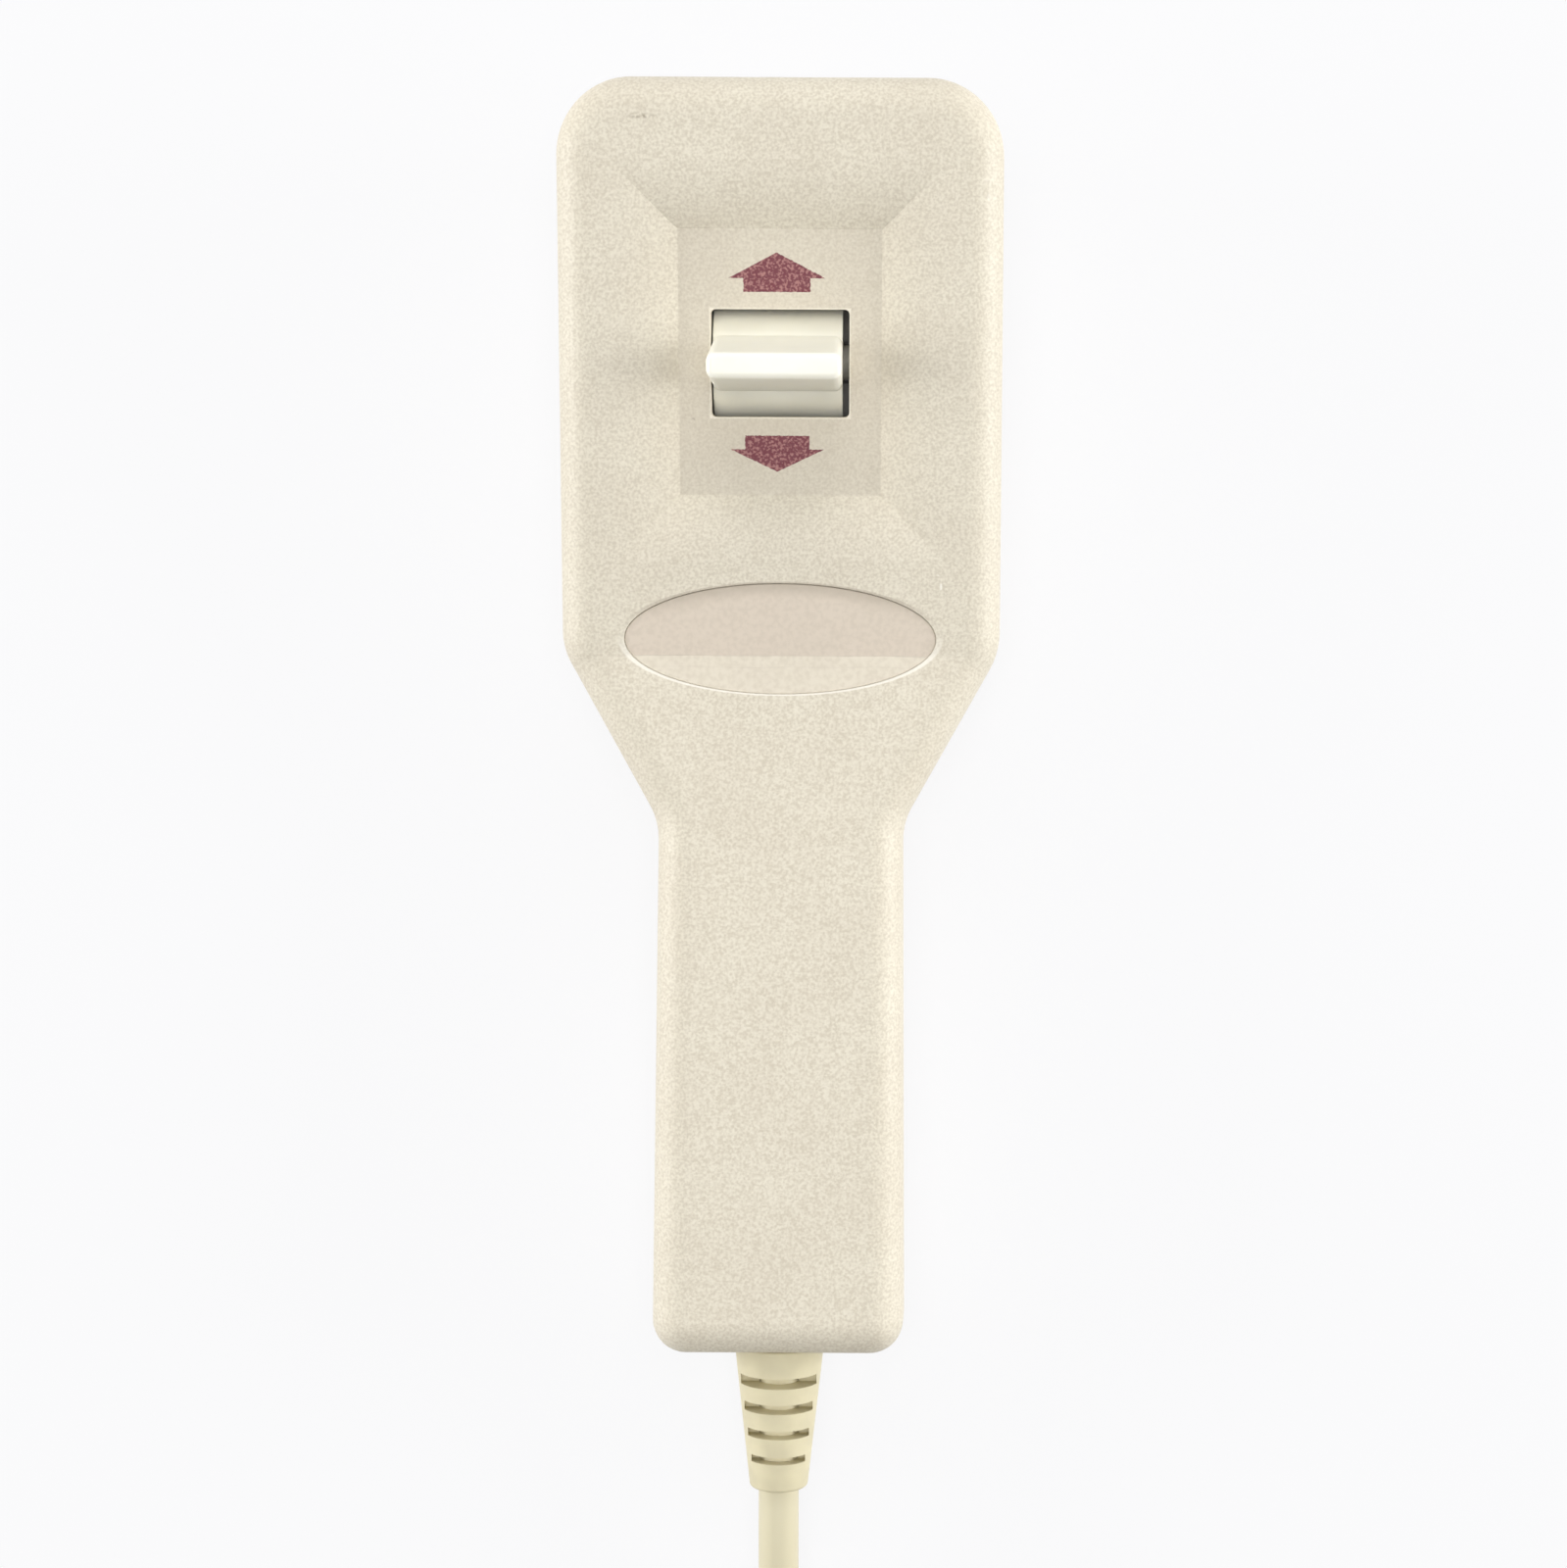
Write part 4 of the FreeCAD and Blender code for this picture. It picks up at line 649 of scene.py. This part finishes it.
@dataclass
class Cord:
    """The cord from inside the handle to its plug, wound up where it isn't seen.

    The coil is wound inwards on the table and back out on top of itself. Its stations are the places
    where the cord starts or ends a step to another row or layer: degrees from +X, row from the outside,
    layer.
    """

    diameter: float = 5.5 * MM
    exit: tuple[float, float, float] = (0.0, -84.0 * MM, 11.0 * MM)
    length: float = 1.319
    handle_run: tuple[tuple[float, float, float], ...] = (
        (0.0, -62.0, 11.0), (0.0, -84.0, 11.02), (0.0, -113.5, 11.0))
    coil_middle: tuple[float, float] = (9.0, -185.6)
    coil_reach: float = 37.25
    row_step: float = 5.5
    stub_in: float = 22.0
    way_out: tuple[float, ...] = (16.0, 26.9)
    levels: tuple[float, float] = (2.75, 8.25)
    stations: tuple[tuple[float, int, int], ...] = (
        (150, 0, 0), (450, 0, 0), (540, 1, 0), (810, 1, 0), (900, 2, 0), (1170, 2, 0), (1260, 3, 0),
        (1440, 3, 0), (1530, 3, 1), (1710, 3, 1), (1800, 2, 1), (2070, 2, 1), (2160, 1, 1), (2430, 1, 1),
        (2520, 0, 1))
    points_on_coil: int = 105
    tie_angle: float = 270.0
    tie_lift: float = 0.8
    colour: tuple[int, int, int] = (216, 208, 178)
    dull: tuple[int, int, int] = (212, 203, 172)

    def place_on_coil(self, angle: float) -> Vector:
        """Where the cord's line is on the coil.

        Args:
            angle: how far it is wound, in degrees from +X.

        Returns:
            The place in millimetres.
        """
        first, last = self.stations[0][0], self.stations[-1][0]
        held = min(max(angle, first), last)
        for before, after in zip(self.stations, self.stations[1:]):
            if held <= after[0]:
                break
        share = (held - before[0]) / (after[0] - before[0])
        row = before[1] + (after[1] - before[1]) * share
        layer = before[2] + (after[2] - before[2]) * share
        step = (last - first) / self.points_on_coil
        reach = (self.coil_reach - self.row_step * row) / math.cos(math.radians(step / 2))
        away = abs((angle - self.tie_angle + 180.0) % 360.0 - 180.0)
        lift = self.tie_lift * min(1.0, max(0.0, 1.3 - away / 40.0))
        turn = math.radians(angle)
        level = self.levels[0] + (self.levels[1] - self.levels[0]) * layer + lift
        return Vector((self.coil_middle[0] + reach * math.cos(turn),
                       self.coil_middle[1] + reach * math.sin(turn), level))

    def points(self) -> list[Vector]:
        """Returns the control points of the whole cord, in metres."""
        first, last = self.stations[0][0], self.stations[-1][0]
        step = (last - first) / self.points_on_coil
        turn = math.radians(first)
        outwards = Vector((math.cos(turn), math.sin(turn), 0.0))
        back = Vector((outwards.y, -outwards.x, 0.0))
        contact = Vector((*self.coil_middle, self.levels[0])) + outwards * self.coil_reach
        end = contact + back * self.stub_in
        before_end = end + back * 10.0
        sinking = Vector((0.0, before_end.y + 12.6, self.handle_run[0][2] - 3.5))
        found = [*(Vector(point) for point in self.handle_run), sinking, before_end, end]
        found += [self.place_on_coil(first + step * (number - 0.5))
                  for number in range(self.points_on_coil + 2)]
        right = self.coil_middle[0] + self.coil_reach
        found += [Vector((right, self.coil_middle[1] + away, self.levels[1])) for away in self.way_out]
        return [point * MM for point in found]

    def material(self) -> bpy.types.Material:
        """Returns the smooth cream jacket."""
        nodes = Nodes("cord_jacket")
        cloud = nodes.ramp(nodes.noise(120.0, 3.0), 0.35, 0.7, 0.0, 0.3)
        colour = nodes.mix(cloud, linear(*self.colour), linear(*self.dull))
        fine = nodes.noise(1400.0, 2.0)
        return nodes.finish(colour, nodes.ramp(fine, 0.3, 0.7, 0.38, 0.5), nodes.bump(fine, 0.008 * MM, 0.4))

    def build(self) -> bpy.types.Object:
        """Returns:
            The cord's curve object.
        """
        data = bpy.data.curves.new("cord", "CURVE")
        data.dimensions = "3D"
        data.bevel_depth = self.diameter / 2
        data.bevel_resolution = 5
        data.resolution_u = 8
        data.use_fill_caps = True
        spline = data.splines.new("NURBS")
        points = self.points()
        spline.points.add(len(points) - 1)
        for target, point in zip(spline.points, points):
            target.co = (*point, 1.0)
        spline.order_u = 3
        spline.use_endpoint_u = True
        cord = bpy.data.objects.new("cord", data)
        bpy.context.scene.collection.objects.link(cord)
        data.materials.append(self.material())
        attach(cord, Body.HOUSING.value)
        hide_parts("cord_lead", "cord_coil")
        log.info("cord with %d control points", len(points))
        return cord


@dataclass(frozen=True)
class Lamp:
    """A square soft lamp that faces the object: where it hangs, its side and its power in watts."""

    name: str
    place: tuple[float, float, float]
    size: float
    power: float

    def hang(self) -> None:
        """Hangs the lamp."""
        data = bpy.data.lights.new(self.name, "AREA")
        data.shape, data.size, data.energy = "SQUARE", self.size, self.power
        lamp = bpy.data.objects.new(self.name, data)
        lamp.location = self.place
        lamp.rotation_euler = (-Vector(self.place)).to_track_quat("-Z", "Y").to_euler()
        bpy.context.scene.collection.objects.link(lamp)


@dataclass
class Studio:
    """Pale floor, soft light and the camera that looks straight down."""

    image_width: float = 1599.0
    focal_pixels: float = 2240.0
    camera_place: tuple[float, float, float] = (10.6 * MM, -7.2 * MM, 313.0 * MM)
    frame_shift: float = -0.0485
    roll: float = math.radians(0.3)
    world_strength: float = 0.29
    floor_colour: tuple[int, int, int] = (252, 252, 253)
    paper: tuple[int, int, int] = (235, 235, 236)
    lamps: tuple[Lamp, ...] = (
        Lamp("above", (0.0, -0.02, 1.1), 0.6, 5.2),
        Lamp("head_end", (0.0, 0.95, 0.6), 0.6, 4.0),
        Lamp("left_side", (-0.9, 0.05, 0.2), 0.4, 4.8),
        Lamp("right_side", (0.9, 0.05, 0.2), 0.4, 5.6),
    )

    def camera(self) -> None:
        """Sets the camera of the photograph."""
        data = bpy.data.cameras.new("camera")
        data.sensor_fit = "HORIZONTAL"
        data.sensor_width = 36.0
        data.lens = self.focal_pixels / self.image_width * data.sensor_width
        data.shift_x = self.frame_shift
        data.clip_start, data.clip_end = 0.01, 10.0
        camera = bpy.data.objects.new("camera", data)
        camera.location = self.camera_place
        camera.rotation_euler = (0.0, 0.0, self.roll)
        bpy.context.scene.collection.objects.link(camera)
        bpy.context.scene.camera = camera

    def floor(self) -> None:
        """Lays a pale floor that looks white and keeps a faint shadow."""
        mesh = bpy.data.meshes.new("floor")
        sheet = bmesh.new()
        bmesh.ops.create_grid(sheet, x_segments=1, y_segments=1, size=4.0)
        bmesh.ops.translate(sheet, verts=sheet.verts, vec=(0.0, 0.0, -0.0002))
        sheet.to_mesh(mesh)
        sheet.free()
        floor = bpy.data.objects.new("floor", mesh)
        bpy.context.scene.collection.objects.link(floor)
        nodes = Nodes("floor_paper")
        tree = nodes.tree
        nodes.finish(linear(*self.paper), 0.9)
        glow = nodes.add("ShaderNodeEmission")
        glow.inputs["Color"].default_value = linear(*self.floor_colour)
        blend = nodes.add("ShaderNodeMixShader")
        paths = nodes.add("ShaderNodeLightPath").outputs
        seen = nodes.math("MAXIMUM", paths["Is Camera Ray"], paths["Is Glossy Ray"])
        nodes.link(nodes.math("MULTIPLY", seen, 0.85), blend.inputs[0])
        tree.links.new(nodes.shader.outputs[0], blend.inputs[1])
        tree.links.new(glow.outputs[0], blend.inputs[2])
        tree.links.new(blend.outputs[0], tree.nodes["Material Output"].inputs["Surface"])
        mesh.materials.append(nodes.material)

    def surround(self) -> None:
        """Lights the object evenly from all round, and shows white behind it."""
        world = bpy.data.worlds.new("studio")
        world.use_nodes = True
        tree = world.node_tree
        light = tree.nodes["Background"]
        light.inputs["Color"].default_value = (1.0, 1.0, 1.0, 1.0)
        light.inputs["Strength"].default_value = self.world_strength
        backdrop = tree.nodes.new("ShaderNodeBackground")
        backdrop.inputs["Color"].default_value = linear(*self.floor_colour)
        backdrop.inputs["Strength"].default_value = 1.0
        blend = tree.nodes.new("ShaderNodeMixShader")
        paths = tree.nodes.new("ShaderNodeLightPath").outputs
        seen = paths["Is Camera Ray"]
        for kind in ("Is Glossy Ray", "Is Transmission Ray"):
            either = tree.nodes.new("ShaderNodeMath")
            either.operation = "MAXIMUM"
            tree.links.new(seen, either.inputs[0])
            tree.links.new(paths[kind], either.inputs[1])
            seen = either.outputs[0]
        tree.links.new(seen, blend.inputs[0])
        tree.links.new(light.outputs[0], blend.inputs[1])
        tree.links.new(backdrop.outputs[0], blend.inputs[2])
        tree.links.new(blend.outputs[0], tree.nodes["World Output"].inputs["Surface"])
        bpy.context.scene.world = world

    def build(self) -> None:
        """Sets up the view, the floor, the light and the camera."""
        bpy.context.scene.view_settings.view_transform = "Standard"
        self.floor()
        self.surround()
        for lamp in self.lamps:
            lamp.hang()
        self.camera()


def main() -> None:
    """Dresses the hand control, builds its cord and sets the stage."""
    logging.basicConfig(level=logging.INFO)
    Dressing(FINISHES).build()
    Cord().build()
    Studio().build()
    bpy.context.view_layer.update()


if __name__ == "__main__":
    main()
